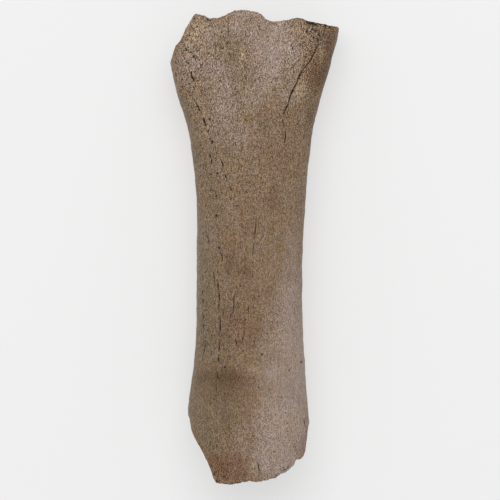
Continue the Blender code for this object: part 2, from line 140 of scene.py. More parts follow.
# Open cracks and slits: (half width, depth, places along the line).
FRONT_CRACKS = (
    (0.0009, 0.0036, (
        (0.0736, 0.2309), (0.0723, 0.2274), (0.0693, 0.2186), (0.0654, 0.2110),
        (0.0610, 0.2053), (0.0560, 0.1997), (0.0538, 0.1953),
    )),
    (0.0012, 0.0046, (
        (0.0594, 0.2035), (0.0560, 0.1997), (0.0535, 0.1947), (0.0504, 0.1871),
        (0.0472, 0.1802), (0.0454, 0.1770),
    )),
    (0.0013, 0.0050, (
        (0.0517, 0.1902), (0.0504, 0.1871), (0.0472, 0.1802), (0.0440, 0.1746),
        (0.0415, 0.1683), (0.0397, 0.1607), (0.0381, 0.1578),
    )),
    (0.0009, 0.0040, (
        (0.0427, 0.1714), (0.0415, 0.1683), (0.0397, 0.1607), (0.0371, 0.1558),
        (0.0346, 0.1501), (0.0338, 0.1443),
    )),
    (0.0006, 0.0022, ((0.0337, 0.1449), (0.0334, 0.1406), (0.0350, 0.1353))),
    (0.0009, 0.0026, ((0.0357, 0.1330), (0.0366, 0.1243), (0.0346, 0.1142))),
    (0.0004, 0.0009, ((0.0541, 0.2149), (0.0479, 0.2060), (0.0415, 0.1997), (0.0366, 0.1935))),
    (0.0008, 0.0020, ((0.0454, 0.2262), (0.0435, 0.2211))),
    (0.0004, 0.0009, ((-0.0276, 0.2598), (-0.0282, 0.2488), (-0.0276, 0.2362), (-0.0251, 0.2315))),
    (0.0007, 0.0020, ((-0.0535, 0.2585), (-0.0513, 0.2556), (-0.0478, 0.2540))),
    (0.0010, 0.0024, ((-0.0760, 0.2246), (-0.0732, 0.2205))),
    (0.0012, 0.0028, ((-0.0701, 0.1945), (-0.0680, 0.1909), (-0.0658, 0.1866))),
    (0.0009, 0.0024, ((-0.0658, 0.1641), (-0.0635, 0.1583), (-0.0603, 0.1526), (-0.0578, 0.1478))),
    (0.0010, 0.0024, ((-0.0567, 0.1460), (-0.0547, 0.1381), (-0.0533, 0.1347))),
    (0.0010, 0.0024, ((-0.0503, 0.1054), (-0.0488, 0.1012), (-0.0471, 0.0966))),
    (0.0010, 0.0024, ((-0.0365, 0.0978), (-0.0338, 0.0903))),
    (0.0010, 0.0024, ((-0.0326, 0.0822), (-0.0301, 0.0758))),
    (0.0010, 0.0024, ((-0.0268, 0.0681), (-0.0243, 0.0625))),
    (0.0007, 0.0018, ((-0.0534, 0.0136), (-0.0514, 0.0093))),
    (0.0010, 0.0026, ((-0.0368, -0.0077), (-0.0361, -0.0113), (-0.0351, -0.0156))),
    (0.0005, 0.0010, ((-0.0457, -0.0218), (-0.0447, -0.0328), (-0.0436, -0.0445))),
    (0.0008, 0.0022, ((-0.0409, -0.0260), (-0.0406, -0.0306))),
    (0.0008, 0.0026, ((-0.0406, -0.0374), (-0.0404, -0.0445), (-0.0397, -0.0504))),
    (0.0013, 0.0034, ((-0.0397, -0.0487), (-0.0393, -0.0543), (-0.0393, -0.0594))),
    (0.0008, 0.0028, ((-0.0393, -0.0577), (-0.0394, -0.0668), (-0.0392, -0.0741))),
    (0.0008, 0.0026, (
        (-0.0384, -0.0764), (-0.0377, -0.0849), (-0.0376, -0.0940), (-0.0377, -0.0996),
    )),
    (0.0007, 0.0020, ((-0.0378, -0.1030), (-0.0384, -0.1121), (-0.0393, -0.1189))),
    (0.0008, 0.0022, ((-0.0395, -0.1211), (-0.0388, -0.1307))),
    (0.0007, 0.0016, ((-0.0409, -0.1415), (-0.0393, -0.1494))),
    (0.0007, 0.0020, ((-0.0577, -0.0481), (-0.0573, -0.0555))),
    (0.0007, 0.0020, ((-0.0572, -0.0583), (-0.0568, -0.0645))),
    (0.0007, 0.0020, ((-0.0563, -0.0764), (-0.0565, -0.0838))),
    (0.0007, 0.0020, ((-0.0565, -0.0860), (-0.0563, -0.0923))),
    (0.0006, 0.0018, ((-0.0532, -0.1046), (-0.0549, -0.1132), (-0.0563, -0.1245))),
    (0.0005, 0.0012, ((-0.0556, -0.0136), (-0.0554, -0.0187))),
    (0.0007, 0.0016, ((0.0037, 0.0351), (0.0028, 0.0238), (0.0020, 0.0164), (0.0008, 0.0045))),
    (0.0006, 0.0014, ((0.0008, 0.0060), (0.0002, 0.0003), (-0.0011, -0.0119))),
    (0.0007, 0.0018, ((-0.0007, -0.0294), (-0.0011, -0.0345))),
    (0.0007, 0.0018, (
        (-0.0187, -0.0482), (-0.0212, -0.0538), (-0.0221, -0.0594), (-0.0220, -0.0671),
        (-0.0231, -0.0741), (-0.0271, -0.0786),
    )),
    (0.0006, 0.0016, ((-0.0057, -0.0668), (-0.0057, -0.0761))),
    (0.0007, 0.0018, ((-0.0094, -0.0815), (-0.0105, -0.0860))),
    (0.0006, 0.0016, (
        (-0.0089, -0.0898), (-0.0101, -0.0974), (-0.0119, -0.1036), (-0.0131, -0.1098),
    )),
    (0.0005, 0.0012, ((-0.0068, -0.0119), (-0.0108, -0.0147), (-0.0153, -0.0190))),
    (0.0006, 0.0018, ((-0.0231, 0.0469), (-0.0187, 0.0464), (-0.0138, 0.0453))),
    (0.0011, 0.0030, ((0.0588, -0.1940), (0.0586, -0.2020))),
    (0.0006, 0.0020, ((0.0049, -0.2409), (0.0058, -0.2468), (0.0074, -0.2536))),
    (0.0005, 0.0014, ((0.0300, -0.2536), (0.0368, -0.2502), (0.0430, -0.2470))),
    (0.0006, 0.0016, ((0.0515, -0.1313), (0.0551, -0.1284))),
    (0.0005, 0.0012, ((0.0042, -0.1567), (0.0080, -0.1612))),
)
BACK_CRACKS = (
    (0.0012, 0.0032, (
        (0.0180, 0.1500), (0.0196, 0.1330), (0.0205, 0.1120), (0.0182, 0.0900),
        (0.0170, 0.0650), (0.0190, 0.0300),
    )),
    (0.0010, 0.0028, (
        (-0.0250, -0.0450), (-0.0242, -0.0700), (-0.0230, -0.0950), (-0.0270, -0.1400),
    )),
    (0.0009, 0.0024, ((-0.0350, 0.2050), (-0.0300, 0.1700), (-0.0310, 0.1400))),
    (0.0009, 0.0022, ((0.0380, 0.0600), (0.0400, 0.0250), (0.0385, -0.0200))),
    (0.0009, 0.0022, ((0.0300, -0.0850), (0.0330, -0.1180))),
    (0.0009, 0.0022, ((-0.0440, 0.0800), (-0.0430, 0.0450), (-0.0450, 0.0200))),
    (0.0033, 0.0060, ((0.0060, -0.0150), (0.0065, -0.0220))),
)
# Raised lines on the back for muscles: (half width, height, places along the line).
BACK_RIDGES = (
    (0.0120, 0.0028, ((-0.0200, 0.1450), (-0.0100, 0.0700), (-0.0060, 0.0000), (-0.0080, -0.0700))),
    (0.0130, 0.0013, ((-0.0070, -0.0500), (-0.0200, -0.1000), (-0.0400, -0.1450))),
    (0.0130, 0.0011, ((-0.0070, -0.0500), (0.0130, -0.1050), (0.0340, -0.1500))),
)
# Margins rounded off along a broken rim, as cracks are given.
FRONT_BEVELS = (
    (0.0090, 0.0036, ((-0.0945, 0.2090), (-0.0832, 0.2343), (-0.0775, 0.2479), (-0.0662, 0.2626))),
    (0.0050, 0.0018, ((-0.0323, 0.2604), (-0.0125, 0.2672), (0.0074, 0.2638), (0.0187, 0.2534))),
)
# Flake scars at the rims: (across, along, radius, depth).
FRONT_SCARS = (
    (-0.0560, 0.2680, 0.0120, 0.0030),
    (0.0680, 0.2560, 0.0100, 0.0035),
    (0.0900, 0.1936, 0.0050, 0.0015),
    (0.0560, -0.2440, 0.0080, 0.0030),
    (-0.0640, -0.2330, 0.0110, 0.0025),
)
# Pits of the front: (across, along, size against the usual one).
FRONT_PITS = (
    (-0.0697, 0.2193, 1.1), (-0.0668, 0.2146, 1.2), (-0.0651, 0.2117, 0.8), (-0.0761, 0.2124, 0.9),
    (-0.0729, 0.2079, 1.0), (-0.0786, 0.2048, 0.9), (-0.0719, 0.2016, 0.8), (-0.0798, 0.1987, 0.7),
    (-0.0753, 0.1958, 0.7), (-0.0672, 0.1802, 1.0), (-0.0707, 0.1834, 0.7), (-0.0635, 0.1583, 1.2),
    (-0.0547, 0.1381, 0.9), (-0.0496, 0.1438, 1.2), (-0.0508, 0.1305, 1.0), (-0.0465, 0.1180, 1.3),
    (-0.0490, 0.1216, 0.9), (-0.0528, 0.1155, 0.8), (-0.0540, 0.0928, 0.8), (-0.0496, 0.0815, 1.1),
    (-0.0409, 0.0827, 1.3), (-0.0447, 0.0894, 0.7), (-0.0492, 0.0652, 1.0), (-0.0421, 0.0574, 1.1),
    (-0.0542, 0.0461, 0.9), (-0.0421, 0.0352, 1.3), (-0.0386, -0.0012, 1.3), (-0.0506, 0.0065, 1.0),
    (-0.0301, 0.0744, 0.9), (-0.0203, -0.1053, 1.0), (-0.0187, -0.1087, 0.9),
    (-0.0471, -0.1209, 0.9), (-0.0379, -0.1216, 0.8), (-0.0323, -0.1355, 1.2),
    (-0.0291, -0.1254, 0.8), (0.0100, -0.1211, 1.2), (0.0406, -0.1392, 0.9), (0.0093, -0.1449, 0.8),
    (0.0319, -0.1695, 0.8), (-0.0372, -0.1870, 0.8), (0.0174, -0.1958, 0.7), (0.0608, -0.2091, 1.0),
    (-0.0486, -0.2216, 1.1), (0.0231, -0.2305, 1.0), (0.0098, -0.2461, 0.8), (0.0187, -0.2449, 0.8),
    (0.0394, -0.2480, 1.0), (-0.0443, -0.2562, 1.2), (-0.0335, -0.2588, 0.9),
    (-0.0413, -0.2638, 1.0), (-0.0425, 0.2258, 0.8), (-0.0391, 0.2275, 0.7), (-0.0363, 0.2236, 0.8),
    (-0.0198, 0.2162, 0.7), (-0.0689, 0.2452, 0.8), (-0.0683, 0.2366, 0.8), (0.0611, 0.2540, 1.3),
    (0.0640, 0.2524, 1.1), (0.0678, 0.2522, 1.4), (0.0712, 0.2504, 1.2), (0.0760, 0.2506, 1.0),
    (0.0818, 0.2495, 1.1), (0.0866, 0.2481, 0.9), (0.0667, 0.2456, 1.1), (0.0707, 0.2438, 0.9),
    (0.0654, 0.2420, 1.0), (0.0743, 0.2387, 1.1), (0.0680, 0.2362, 1.0), (0.0723, 0.2336, 1.2),
    (0.0649, 0.2318, 0.9), (0.0603, 0.2456, 0.8), (0.0538, 0.2318, 0.8),
)
# Radius and depth of a usual pit.
PIT_RADIUS = 0.0012
PIT_DEPTH = 0.0020

# Relief of the front fades to the sides between these sines of the angle, and so does the back's.
SIDE_FADE = (0.02, 0.30)
# The least share of its width that a crack or ridge keeps at its ends.
LINE_END = 0.12
# Unevenness of the wall, and of the spongy bone: (size, height).
LUMPS = ((0.045, 0.0009), (0.018, 0.0005), (0.008, 0.0003))
SPONGE_LUMPS = ((0.016, 0.0017), (0.007, 0.0012))
# How far the spongy bone is sunk, and the shares of the way out at which it gives way to the
# dense wall.
SPONGE_FALL = 0.0035
WALL_BAND = (0.74, 0.88)
# Shares of the spongy bone's unevenness, and of its cells' depth, that the dense wall has.
WALL_ROUGHNESS = 0.3
WALL_PORES = 0.2
# The share of the way in over which a broken end's relief begins.
RIM_EASE = 0.05
# Cubes along each side of the block of random numbers, which repeats.
LATTICE = 24
# Cells of the spongy bone: (size, depth of the hollows).
SPONGE_CELLS = ((0.0052, 0.0030), (0.0030, 0.0014))
# Differences of a spot's two least distances between which a strut falls off to its cell.
STRUT_EDGE = (0.04, 0.34)

# How stretched the grain is along the bone, as (along Y, share of its length that it keeps).
GRAIN_STRETCH = ((-0.268, 0.66), (-0.150, 0.60), (0.060, 0.60), (0.150, 0.66), (0.230, 0.72))
# Half the length over which that stretch is added up.
GRAIN_REACH = 0.3
# Pores: (size of their cells, share of cells with one, radius and depth as shares of a cell).
PORES = ((0.0040, 0.28, 0.30, 0.16), (0.0027, 0.42, 0.36, 0.18))
# The least radius of a pore against its usual one, and how much more the widest has.
PORE_LEAST = 0.6
PORE_MORE = 0.7
# Unevenness of the grain: (size, height).
GRAIN = ((0.0060, 0.00016), (0.0030, 0.00020), (0.0019, 0.00020))
# How coarse and contrasty the grain is along the bone.
COARSENESS = (
    (-0.268, 0.84), (-0.205, 0.72), (-0.155, 0.57), (-0.090, 0.84), (0.000, 0.82),
    (0.080, 1.01), (0.150, 1.18), (0.240, 1.44),
)
# Where the pores are deeper or shallower: (across, along, width, length, change).
PORE_ZONES = (
    (-0.070, 0.170, 0.026, 0.090, 0.55), (-0.018, 0.198, 0.018, 0.036, 0.45),
    (0.068, 0.232, 0.026, 0.024, 0.80), (-0.050, 0.060, 0.022, 0.080, 0.30),
    (-0.050, -0.080, 0.022, 0.070, 0.25), (0.024, 0.228, 0.016, 0.030, -0.55),
    (0.034, -0.150, 0.028, 0.080, -0.40), (0.024, -0.030, 0.036, 0.070, -0.30),
)
# Stains of the front, a few of whose patches paint light and shade, as said at their tables:
# (across, along, width, length, strength).
RUST = (
    (0.009, 0.131, 0.0090, 0.0260, 0.65), (0.030, 0.106, 0.0110, 0.0200, 0.48),
    (0.020, 0.051, 0.0080, 0.0110, 0.80), (-0.010, -0.028, 0.0090, 0.0100, 0.50),
    (0.016, -0.053, 0.0080, 0.0080, 0.60), (0.000, -0.099, 0.0130, 0.0160, 0.60),
    (-0.015, -0.110, 0.0070, 0.0060, 0.80), (-0.024, -0.083, 0.0110, 0.0130, 0.60),
    (-0.017, -0.240, 0.0110, 0.0170, 1.05), (-0.042, -0.240, 0.0110, 0.0120, 1.00),
    (-0.028, -0.254, 0.0200, 0.0110, 1.00), (0.053, -0.220, 0.0090, 0.0160, 0.80),
    (0.070, 0.192, 0.0120, 0.0160, 1.05), (0.066, 0.217, 0.0080, 0.0200, 0.45),
    (-0.060, 0.170, 0.0060, 0.0060, 0.55), (-0.014, 0.034, 0.0200, 0.0240, 0.35),
    (-0.026, -0.008, 0.0110, 0.0240, 0.35), (0.044, 0.132, 0.0090, 0.0240, 0.28),
    (0.086, 0.222, 0.0130, 0.0360, 1.15), (-0.012, -0.150, 0.0160, 0.0130, 0.70),
    (-0.006, -0.186, 0.0120, 0.0240, 0.40), (-0.010, -0.060, 0.0180, 0.0300, 0.38),
    (-0.064, 0.190, 0.0060, 0.0060, 0.45), (-0.045, 0.237, 0.0070, 0.0060, 0.50),
    (-0.030, -0.152, 0.0120, 0.0120, 0.50), (0.057, -0.206, 0.0090, 0.0270, 1.20),
)
# The bands at 0.264 and 0.246 along, on the hip rim's top edge, are painted light on that lit edge.
PALE = (
    (0.030, 0.230, 0.0170, 0.0260, 1.00), (0.014, 0.196, 0.0190, 0.0240, 0.74),
    (-0.034, 0.165, 0.0170, 0.0340, 0.66), (-0.010, 0.126, 0.0260, 0.0150, 0.38),
    (0.042, 0.168, 0.0100, 0.0120, 0.40), (0.042, -0.060, 0.0170, 0.0420, 0.80),
    (0.042, -0.112, 0.0200, 0.0300, 0.95), (0.024, -0.143, 0.0180, 0.0120, 0.70),
    (0.034, -0.176, 0.0250, 0.0240, 0.80), (0.028, -0.215, 0.0180, 0.0300, 1.00),
    (0.012, -0.243, 0.0170, 0.0180, 0.75), (0.006, -0.200, 0.0110, 0.0260, 0.35),
    (-0.049, 0.012, 0.0060, 0.0240, 0.40), (-0.064, -0.020, 0.0040, 0.0800, 0.30),
    (-0.068, 0.206, 0.0130, 0.0180, 0.60), (-0.052, 0.238, 0.0150, 0.0190, 0.48),
    (0.055, -0.205, 0.0100, 0.0300, 0.45), (0.055, -0.148, 0.0110, 0.0280, 0.70),
    (0.045, 0.004, 0.0100, 0.0300, 0.35), (-0.042, 0.202, 0.0130, 0.0160, 0.45),
    (0.003, 0.166, 0.0100, 0.0150, 0.42), (0.012, -0.114, 0.0090, 0.0160, 0.34),
    (-0.014, -0.220, 0.0110, 0.0180, 0.36), (0.052, -0.200, 0.0100, 0.0300, 0.30),
    (0.048, 0.216, 0.0100, 0.0160, 0.40), (-0.022, 0.250, 0.0080, 0.0160, 0.50),
    (0.019, -0.080, 0.0080, 0.0200, 0.22), (0.033, -0.250, 0.0080, 0.0060, 0.35),
    (-0.050, -0.137, 0.0070, 0.0060, 0.35), (0.004, 0.236, 0.0150, 0.0240, 0.62),
    (0.000, 0.264, 0.0320, 0.0070, 0.80), (-0.006, 0.246, 0.0550, 0.0080, 0.28),
    (0.036, -0.240, 0.0130, 0.0110, 1.10),
)
TAN = (
    (-0.082, 0.200, 0.0080, 0.0220, 0.25), (-0.064, 0.163, 0.0070, 0.0190, 0.35),
    (-0.052, 0.136, 0.0070, 0.0150, 0.40), (-0.013, 0.213, 0.0040, 0.0140, 0.80),
    (-0.006, 0.172, 0.0045, 0.0210, 0.45), (0.052, 0.178, 0.0080, 0.0140, 0.85),
    (0.076, 0.223, 0.0030, 0.0170, 0.80), (0.050, -0.122, 0.0090, 0.0100, 0.45),
    (-0.066, 0.242, 0.0180, 0.0180, 0.75), (-0.034, 0.254, 0.0200, 0.0100, 0.10),
    (0.000, 0.250, 0.0180, 0.0140, 0.40), (-0.025, 0.039, 0.0110, 0.0170, 0.30),
    (-0.002, -0.139, 0.0110, 0.0060, 0.50), (0.048, 0.244, 0.0090, 0.0090, 0.55),
    (0.050, -0.196, 0.0090, 0.0160, 0.30), (0.062, 0.240, 0.0070, 0.0060, 0.35),
)
# The narrow strip at -0.064 across and 0.100 along is painted shade on the lateral edge.
OLIVE = (
    (-0.029, 0.225, 0.0080, 0.0150, 0.62), (-0.076, 0.156, 0.0060, 0.0180, 0.70),
    (-0.014, 0.195, 0.0080, 0.0160, 0.50), (0.013, 0.135, 0.0090, 0.0090, 0.60),
    (-0.053, -0.030, 0.0090, 0.0600, 0.60), (-0.052, -0.100, 0.0120, 0.0360, 0.70),
    (-0.050, -0.190, 0.0150, 0.0280, 0.75), (-0.048, 0.090, 0.0100, 0.0300, 0.45),
    (-0.064, 0.100, 0.0060, 0.0300, 0.60), (-0.049, -0.222, 0.0110, 0.0120, 0.60),
    (0.080, 0.222, 0.0100, 0.0260, 0.30),
)
# Patches from 0.078 across outwards, at the hip's medial edge, are partly stain, partly painted
# shade.
DARK = (
    (0.067, 0.253, 0.0090, 0.0045, 0.75), (0.074, 0.236, 0.0070, 0.0110, 0.45),
    (0.088, 0.232, 0.0070, 0.0240, 0.45), (0.078, 0.200, 0.0090, 0.0150, 0.35),
    (0.084, 0.205, 0.0110, 0.0400, 0.18), (-0.024, -0.147, 0.0170, 0.0130, 0.52),
    (-0.050, -0.146, 0.0180, 0.0150, 0.48), (-0.034, -0.168, 0.0190, 0.0110, 0.50),
    (-0.041, 0.036, 0.0110, 0.0300, 0.28), (-0.032, -0.104, 0.0110, 0.0440, 0.40),
    (0.069, 0.188, 0.0070, 0.0130, 0.50), (0.062, 0.150, 0.0080, 0.0220, 0.45),
    (-0.026, -0.018, 0.0090, 0.0180, 0.42), (-0.029, -0.196, 0.0110, 0.0180, 0.42),
    (-0.010, -0.028, 0.0080, 0.0090, 0.25), (0.022, 0.060, 0.0070, 0.0260, 0.22),
    (0.000, -0.099, 0.0110, 0.0140, 0.15),
)
# Where the front is cut by small slits along the grain: (across, along, width, length, strength).
SLIT_ZONES = (
    (-0.076, 0.212, 0.0130, 0.0280, 1.00), (-0.070, 0.172, 0.0130, 0.0300, 0.95),
    (-0.055, 0.138, 0.0110, 0.0280, 1.00), (-0.046, 0.098, 0.0110, 0.0300, 0.85),
    (-0.049, 0.053, 0.0110, 0.0350, 0.55), (-0.058, -0.050, 0.0070, 0.0500, 0.75),
    (-0.036, -0.126, 0.0220, 0.0160, 0.80), (-0.015, 0.192, 0.0090, 0.0260, 0.80),
    (0.072, 0.236, 0.0200, 0.0160, 0.90), (0.022, -0.238, 0.0130, 0.0180, 0.55),
    (0.056, -0.200, 0.0070, 0.0260, 0.50), (-0.034, 0.226, 0.0160, 0.0120, 0.50),
    (0.052, 0.205, 0.0120, 0.0260, 0.35),
)

# Numbers that the random draws start from. Those of the cells are added to their end's.
SEEDS = {
    "knee rim": 3, "hip rim": 4, "lumps": 10, "grain": 20, "knee end": 30, "hip end": 40,
    "pores": 50, "stains": 60,
}
CELL_SEED = 5
# Points of a fine scale that spacing is worked out on.
FINE_STEPS = 4097
# Sines of the angle between which the points get closer together towards the front.
FRONT_RISE = (-0.1, 0.35)
# Extra rows near the hip, whose pores are round, and where they begin, as shares of the length.
HIP_DETAIL = 0.45
HIP_STRETCH = (0.62, 0.80)
# About the length of the wall, for the spacing of its rows, the rows next to a rim, and how much
# room the last of those has, in rows.
WALL_LENGTH = 0.48
RIM_ROWS = (0.0, 0.0005, 0.0011, 0.0020, 0.0032)
ROW_ROOM = 0.6
# The least length that a normal is divided by.
TINY = 1e-12
# Shares of the way out inside which a broken end's rings have half and a quarter of the points.
HALF_RING = 0.62
QUARTER_RING = 0.30
# Depth of the pores outside the named zones, as a share, and its limits.
PORE_SHARE = 0.75
PORE_LIMITS = (0.15, 2.0)
# The share of the grain's coarseness that the pores' zones leave alone.
COARSE_BASE = 0.6
# Painted shade in grooves and pores, which grows darker with their depth.
# Depths at which a groove and a pore are as dark as they get, and how dark that is in a groove.
GROOVE_SHADE_DEPTH = 0.0016
PORE_SHADE_DEPTH = 0.0009
GROOVE_SHADE_SHARE = 0.30
# How far from a crack its core is told apart, and the core's share of the crack's width.
CORE_REACH = 0.004
CORE_SHARE = 0.92
# How far from a usual pit it is told apart.
PIT_REACH = 0.0028
# Sines of the angle between which the back's stains give way to the front's.
STAIN_FADE = (-0.35, -0.05)
# The back's stains: their strength, their size, and the noise at which they begin and are full.
BACK_STAIN = 0.75
BACK_STAIN_SIZE = 0.055
BACK_STAIN_EDGE = (-0.2, 0.7)
# How quickly the outside's stains fade inwards over a broken end, as a power.
STAIN_DEPTH = 4
# A point's numbers: its place, its place in the grain's space, and then its finish, in the order
# that the mesh keeps it. The stains come last.
PLACE = slice(0, 3)
FIBRE = slice(3, 6)
FIRST_CHANNEL = 6
CHANNELS = (
    "groove_shade", "pore", "sponge", "hollow", "across", "core", "pit", "coarse", "slit",
    "rust", "pale", "tan", "olive", "dark",
)
STAINS = 5

# Numbers of sockets: of the colours that a Mix node reads and gives, and of the factor that a
# Vector Math node scales by.
MIX_FIRST = 6
MIX_SECOND = 7
MIX_RESULT = 2
VECTOR_FACTOR = 3
WHITE = (1.0, 1.0, 1.0, 1.0)
# Noises of the finish: (size of a lump, detail). The last three are read on the bone itself,
# the others in the grain's space.
MOTTLE = (0.0100, 3.0)
SPECK = (0.0026, 2.0)
SAND = (0.00058, 1.0)
STREAK = (0.0008, 2.0)
THREAD = (0.0010, 1.0)
HATCH = (0.00065, 1.0)
TINT = (0.0040, 2.0)
PATCH = (0.0070, 2.0)
HUE = (0.0150, 3.0)
BEND = (0.0040, 1.0)
NOISE_ROUGHNESS = 0.55
# How the grain's space is scaled for threads, hatching and slits.
THREAD_GRAIN = (1.0, 1.0, 0.06)
HATCH_GRAIN = (1.0, 1.0, 0.3)
SLIT_GRAIN = (1.0, 1.0, 0.38)
# Small slits, their light rims, and dots: (size of a cell, share of cells with one, radius).
SLITS = (0.0028, 0.75, 0.36)
SLIT_RIMS = (0.0028, 0.75, 0.60)
DOTS = (0.0036, 0.34, 0.24)
# The fill of these and their soft edge, as shares of the radius.
DOT_FILL = 1.1
DOT_EDGE = 0.45
# Noise at which plain bone gives way to amber, and a cool area to a warm one, and what a tone is
# multiplied by in both.
TINT_EDGE = (0.38, 0.62)
HUE_EDGE = (0.30, 0.70)
COOL = (0.980, 1.000, 1.050)
WARM = (1.025, 1.000, 0.940)
# How much two noises break up the stains, and the strengths at which a stain begins and is full.
MOTTLE_BREAKUP = 0.9
SPECK_BREAKUP = 0.6
STAIN_EDGE = (-0.15, 1.10)
# How much of the spongy bone's colour its struts and its hollows have.
SPONGE_TONE = 0.80
HOLLOW_TONE = 0.50
# Fine cells of the spongy bone: their size, how far they are bent, and the distances from a
# strut, as shares of a cell, at which a hole begins and is full.
WEB_SIZE = 0.0036
WEB_BEND = 0.0016
WEB_EDGE = (0.07, 0.22)
# Coarseness at which dots begin and are full, the least coarseness of a patch, how much more the
# coarsest has, and the share that the pale stain takes away.
DOT_COARSE = (0.80, 1.10)
PATCH_LEAST = 0.60
PATCH_MORE = 0.8
PALE_CALM = 0.18
# How much light each noise adds or takes, the sums at which that is least and most, how much it
# is then, how much more light coarse grain has, and what is taken from all of it.
MOTTLE_LIGHT = 0.25
SPECK_LIGHT = 0.22
THREAD_LIGHT = 0.55
SAND_LIGHT = 5.9
HATCH_LIGHT = 3.0
LIGHT_EDGE = (-1.3, 1.3)
LIGHT_SPAN = 1.9
COARSE_LIGHT = 0.06
LIGHT_FALL = 0.98
# What a tone is multiplied by for the light that the grain adds or takes, and the darkest tone
# that it leaves.
GRIT = (0.87, 1.02, 1.27)
DARKEST = (0.008, 0.005, 0.003)
# Light crests: the noise at which they begin and are full, how much lighter than the tone they
# are, their share of the ridges' colour, and how strong they are, also more in zones of slits.
CREST_EDGE = (0.54, 0.62)
CREST_GAIN = 1.4
CREST_RIDGE = 0.25
CREST_SHARE = 0.15
CREST_SLIT = 0.22
# Dark strokes: the noise at which they are full and end, how much stronger dots are, what the
# tone is multiplied by, how strong they are, and how much weaker on the pale stain.
STROKE_EDGE = (0.38, 0.46)
DOT_GAIN = 1.3
UMBER = (0.34, 0.26, 0.17)
STROKE_SHARE = 0.64
STROKE_PALE = 0.2
# How dark the painted shade is in pores, in the ends' hollows and in their fine cells.
PORE_SHADE = 0.18
HOLLOW_SHADE = 0.50
HOLE_SHADE = 0.78
# Where a zone has slits: how much noise breaks it up, and the strengths at which they begin and
# are full. Then how light the slits' rims are, and how dark the painted shade in the slits is.
SLIT_BREAKUP = 1.2
SLIT_EDGE = (0.15, 0.55)
SLIT_RIM_SHARE = 0.45
SLIT_SHADE = 0.95
# Painted shade in pits, whose mark falls from 1 in the middle to 0 at their reach: how much noise
# breaks up their rim, the marks at which the shade begins and is full, and how dark it is.
PIT_BREAKUP = 0.6
PIT_RIM = (0.72, 0.85)
PIT_SHADE = 0.9
# The painted highlight on the lit lip of one side of a crack: the distances at which it begins and
# is full, and at which it fades and ends, the cores' half widths at which it shows, and its
# strength.
LIP_START = (0.0002, 0.0008)
LIP_STOP = (0.0010, 0.0022)
LIP_CORE = (0.0003, 0.0009)
LIP_HIGHLIGHT = 0.55
# A crack's dark core, painted shade in a gap too thin for the mesh: the noise that narrows it and
# the share that it narrows, how far two noises bend it, its soft edge, the half widths at which it
# shows, and how dark it is.
NARROW_EDGE = (0.30, 0.55)
NARROW_SHARE = 0.6
SPECK_BEND = 0.0016
STREAK_BEND = 0.0008
CORE_EDGE = (-0.00015, 0.00025)
CORE_LEAST = (0.00010, 0.00035)
CORE_SHADE = 0.95
# Heights of the fine relief, as shares of the finish's fine grain.
SAND_HEIGHT = 0.5
STREAK_HEIGHT = 0.9
SLIT_DEPTH = 0.8
HOLE_DEPTH = 2.0
# How much the roughness varies with the streaks, and how much smoother the pale stain is.
STREAK_ROUGH = 0.2
PALE_SMOOTH = 0.08
# Gloss of the bone, how much dry dust lightens it at a glancing view, and the dust's roughness.
BONE_GLOSS = 0.3
DUST = 0.16
DUST_ROUGHNESS = 0.25

# The studio: the floor's width, height, roughness and gloss, the lamp's width and place, the
# spot that the camera looks down on, and how far it sees, in heights of its own.
FLOOR_SIZE = 14.0
FLOOR_LEVEL = -0.0003
FLOOR_ROUGHNESS = 0.9
FLOOR_GLOSS = 0.2
KEY_SIZE = 2.6
KEY_PLACE = (-0.1, 1.1, 3.0)
VIEW_CENTRE = (-0.0053, -0.0034)
CLIP_HEIGHTS = 4


def colour(name, description, value):
    """A colour of the bone that a user may change."""
    return FloatVectorProperty(
        name=name, description=description, default=value, size=3, min=0, max=1, subtype="COLOR"
    )


class FemurShape(bpy.types.PropertyGroup):
    """Sizes of the bone's fine surface."""

    columns: IntProperty(
        name="Columns", description="Points round the bone, a multiple of 4", default=304, min=64
    )
    rows: IntProperty(name="Rows", description="Rows of points along the wall", default=274, min=40)
    face_rings: IntProperty(
        name="End rings", description="Rings of points on a broken end", default=32, min=8
    )
    front_detail: FloatProperty(
        name="Front detail",
        description="How much closer the points of the front are than those of the back",
        default=1.1, min=0, subtype="FACTOR",
    )
    rim_wear: FloatProperty(
        name="Rim wear", description="Rounding of the broken rims", default=0.0014, unit="LENGTH"
    )
    pore_depth: FloatProperty(
        name="Pores", description="Depth of the pores against their usual one", default=1.0,
        subtype="FACTOR",
    )
    crack_depth: FloatProperty(
        name="Cracks", description="Depth of the cracks against their usual one", default=1.0,
        subtype="FACTOR",
    )
    fine_grain: FloatProperty(
        name="Fine grain", description="Height of the grain that is too fine for the mesh",
        default=0.0006, unit="LENGTH",
    )


class FemurFinish(bpy.types.PropertyGroup):
    """Colours of the mineral-stained bone, and the near-black of its painted shade."""

    bone: colour("Bone", "Brown of the plain surface", (0.238, 0.167, 0.110))
    amber: colour("Amber", "Warmer brown that the plain surface varies to", (0.225, 0.142, 0.074))
    rust: colour("Rust", "Reddish brown iron stain", (0.176, 0.088, 0.046))
    pale: colour("Pale bone", "Pinkish grey of the smooth patches", (0.350, 0.264, 0.220))
    tan: colour("Tan", "Light yellowish brown", (0.362, 0.266, 0.168))
    olive: colour("Olive", "Greyish brown of the lateral side", (0.192, 0.143, 0.089))
    dark: colour("Dark stain", "Manganese brown", (0.106, 0.064, 0.029))
    ridge: colour("Ridges", "Light crests between the pores", (0.540, 0.480, 0.420))
    # Painted shade: the near-black that pores, hollows, slits, pits and cracks are darkened
    # towards.
    crevice_shade: colour("Crevices", "Inside of pores and cracks", (0.014, 0.009, 0.006))
    sponge: colour("Spongy bone", "Struts of the broken ends", (0.420, 0.300, 0.190))
    roughness: FloatProperty(
        name="Roughness", description="Dullness of the surface", default=0.82, subtype="FACTOR"
    )


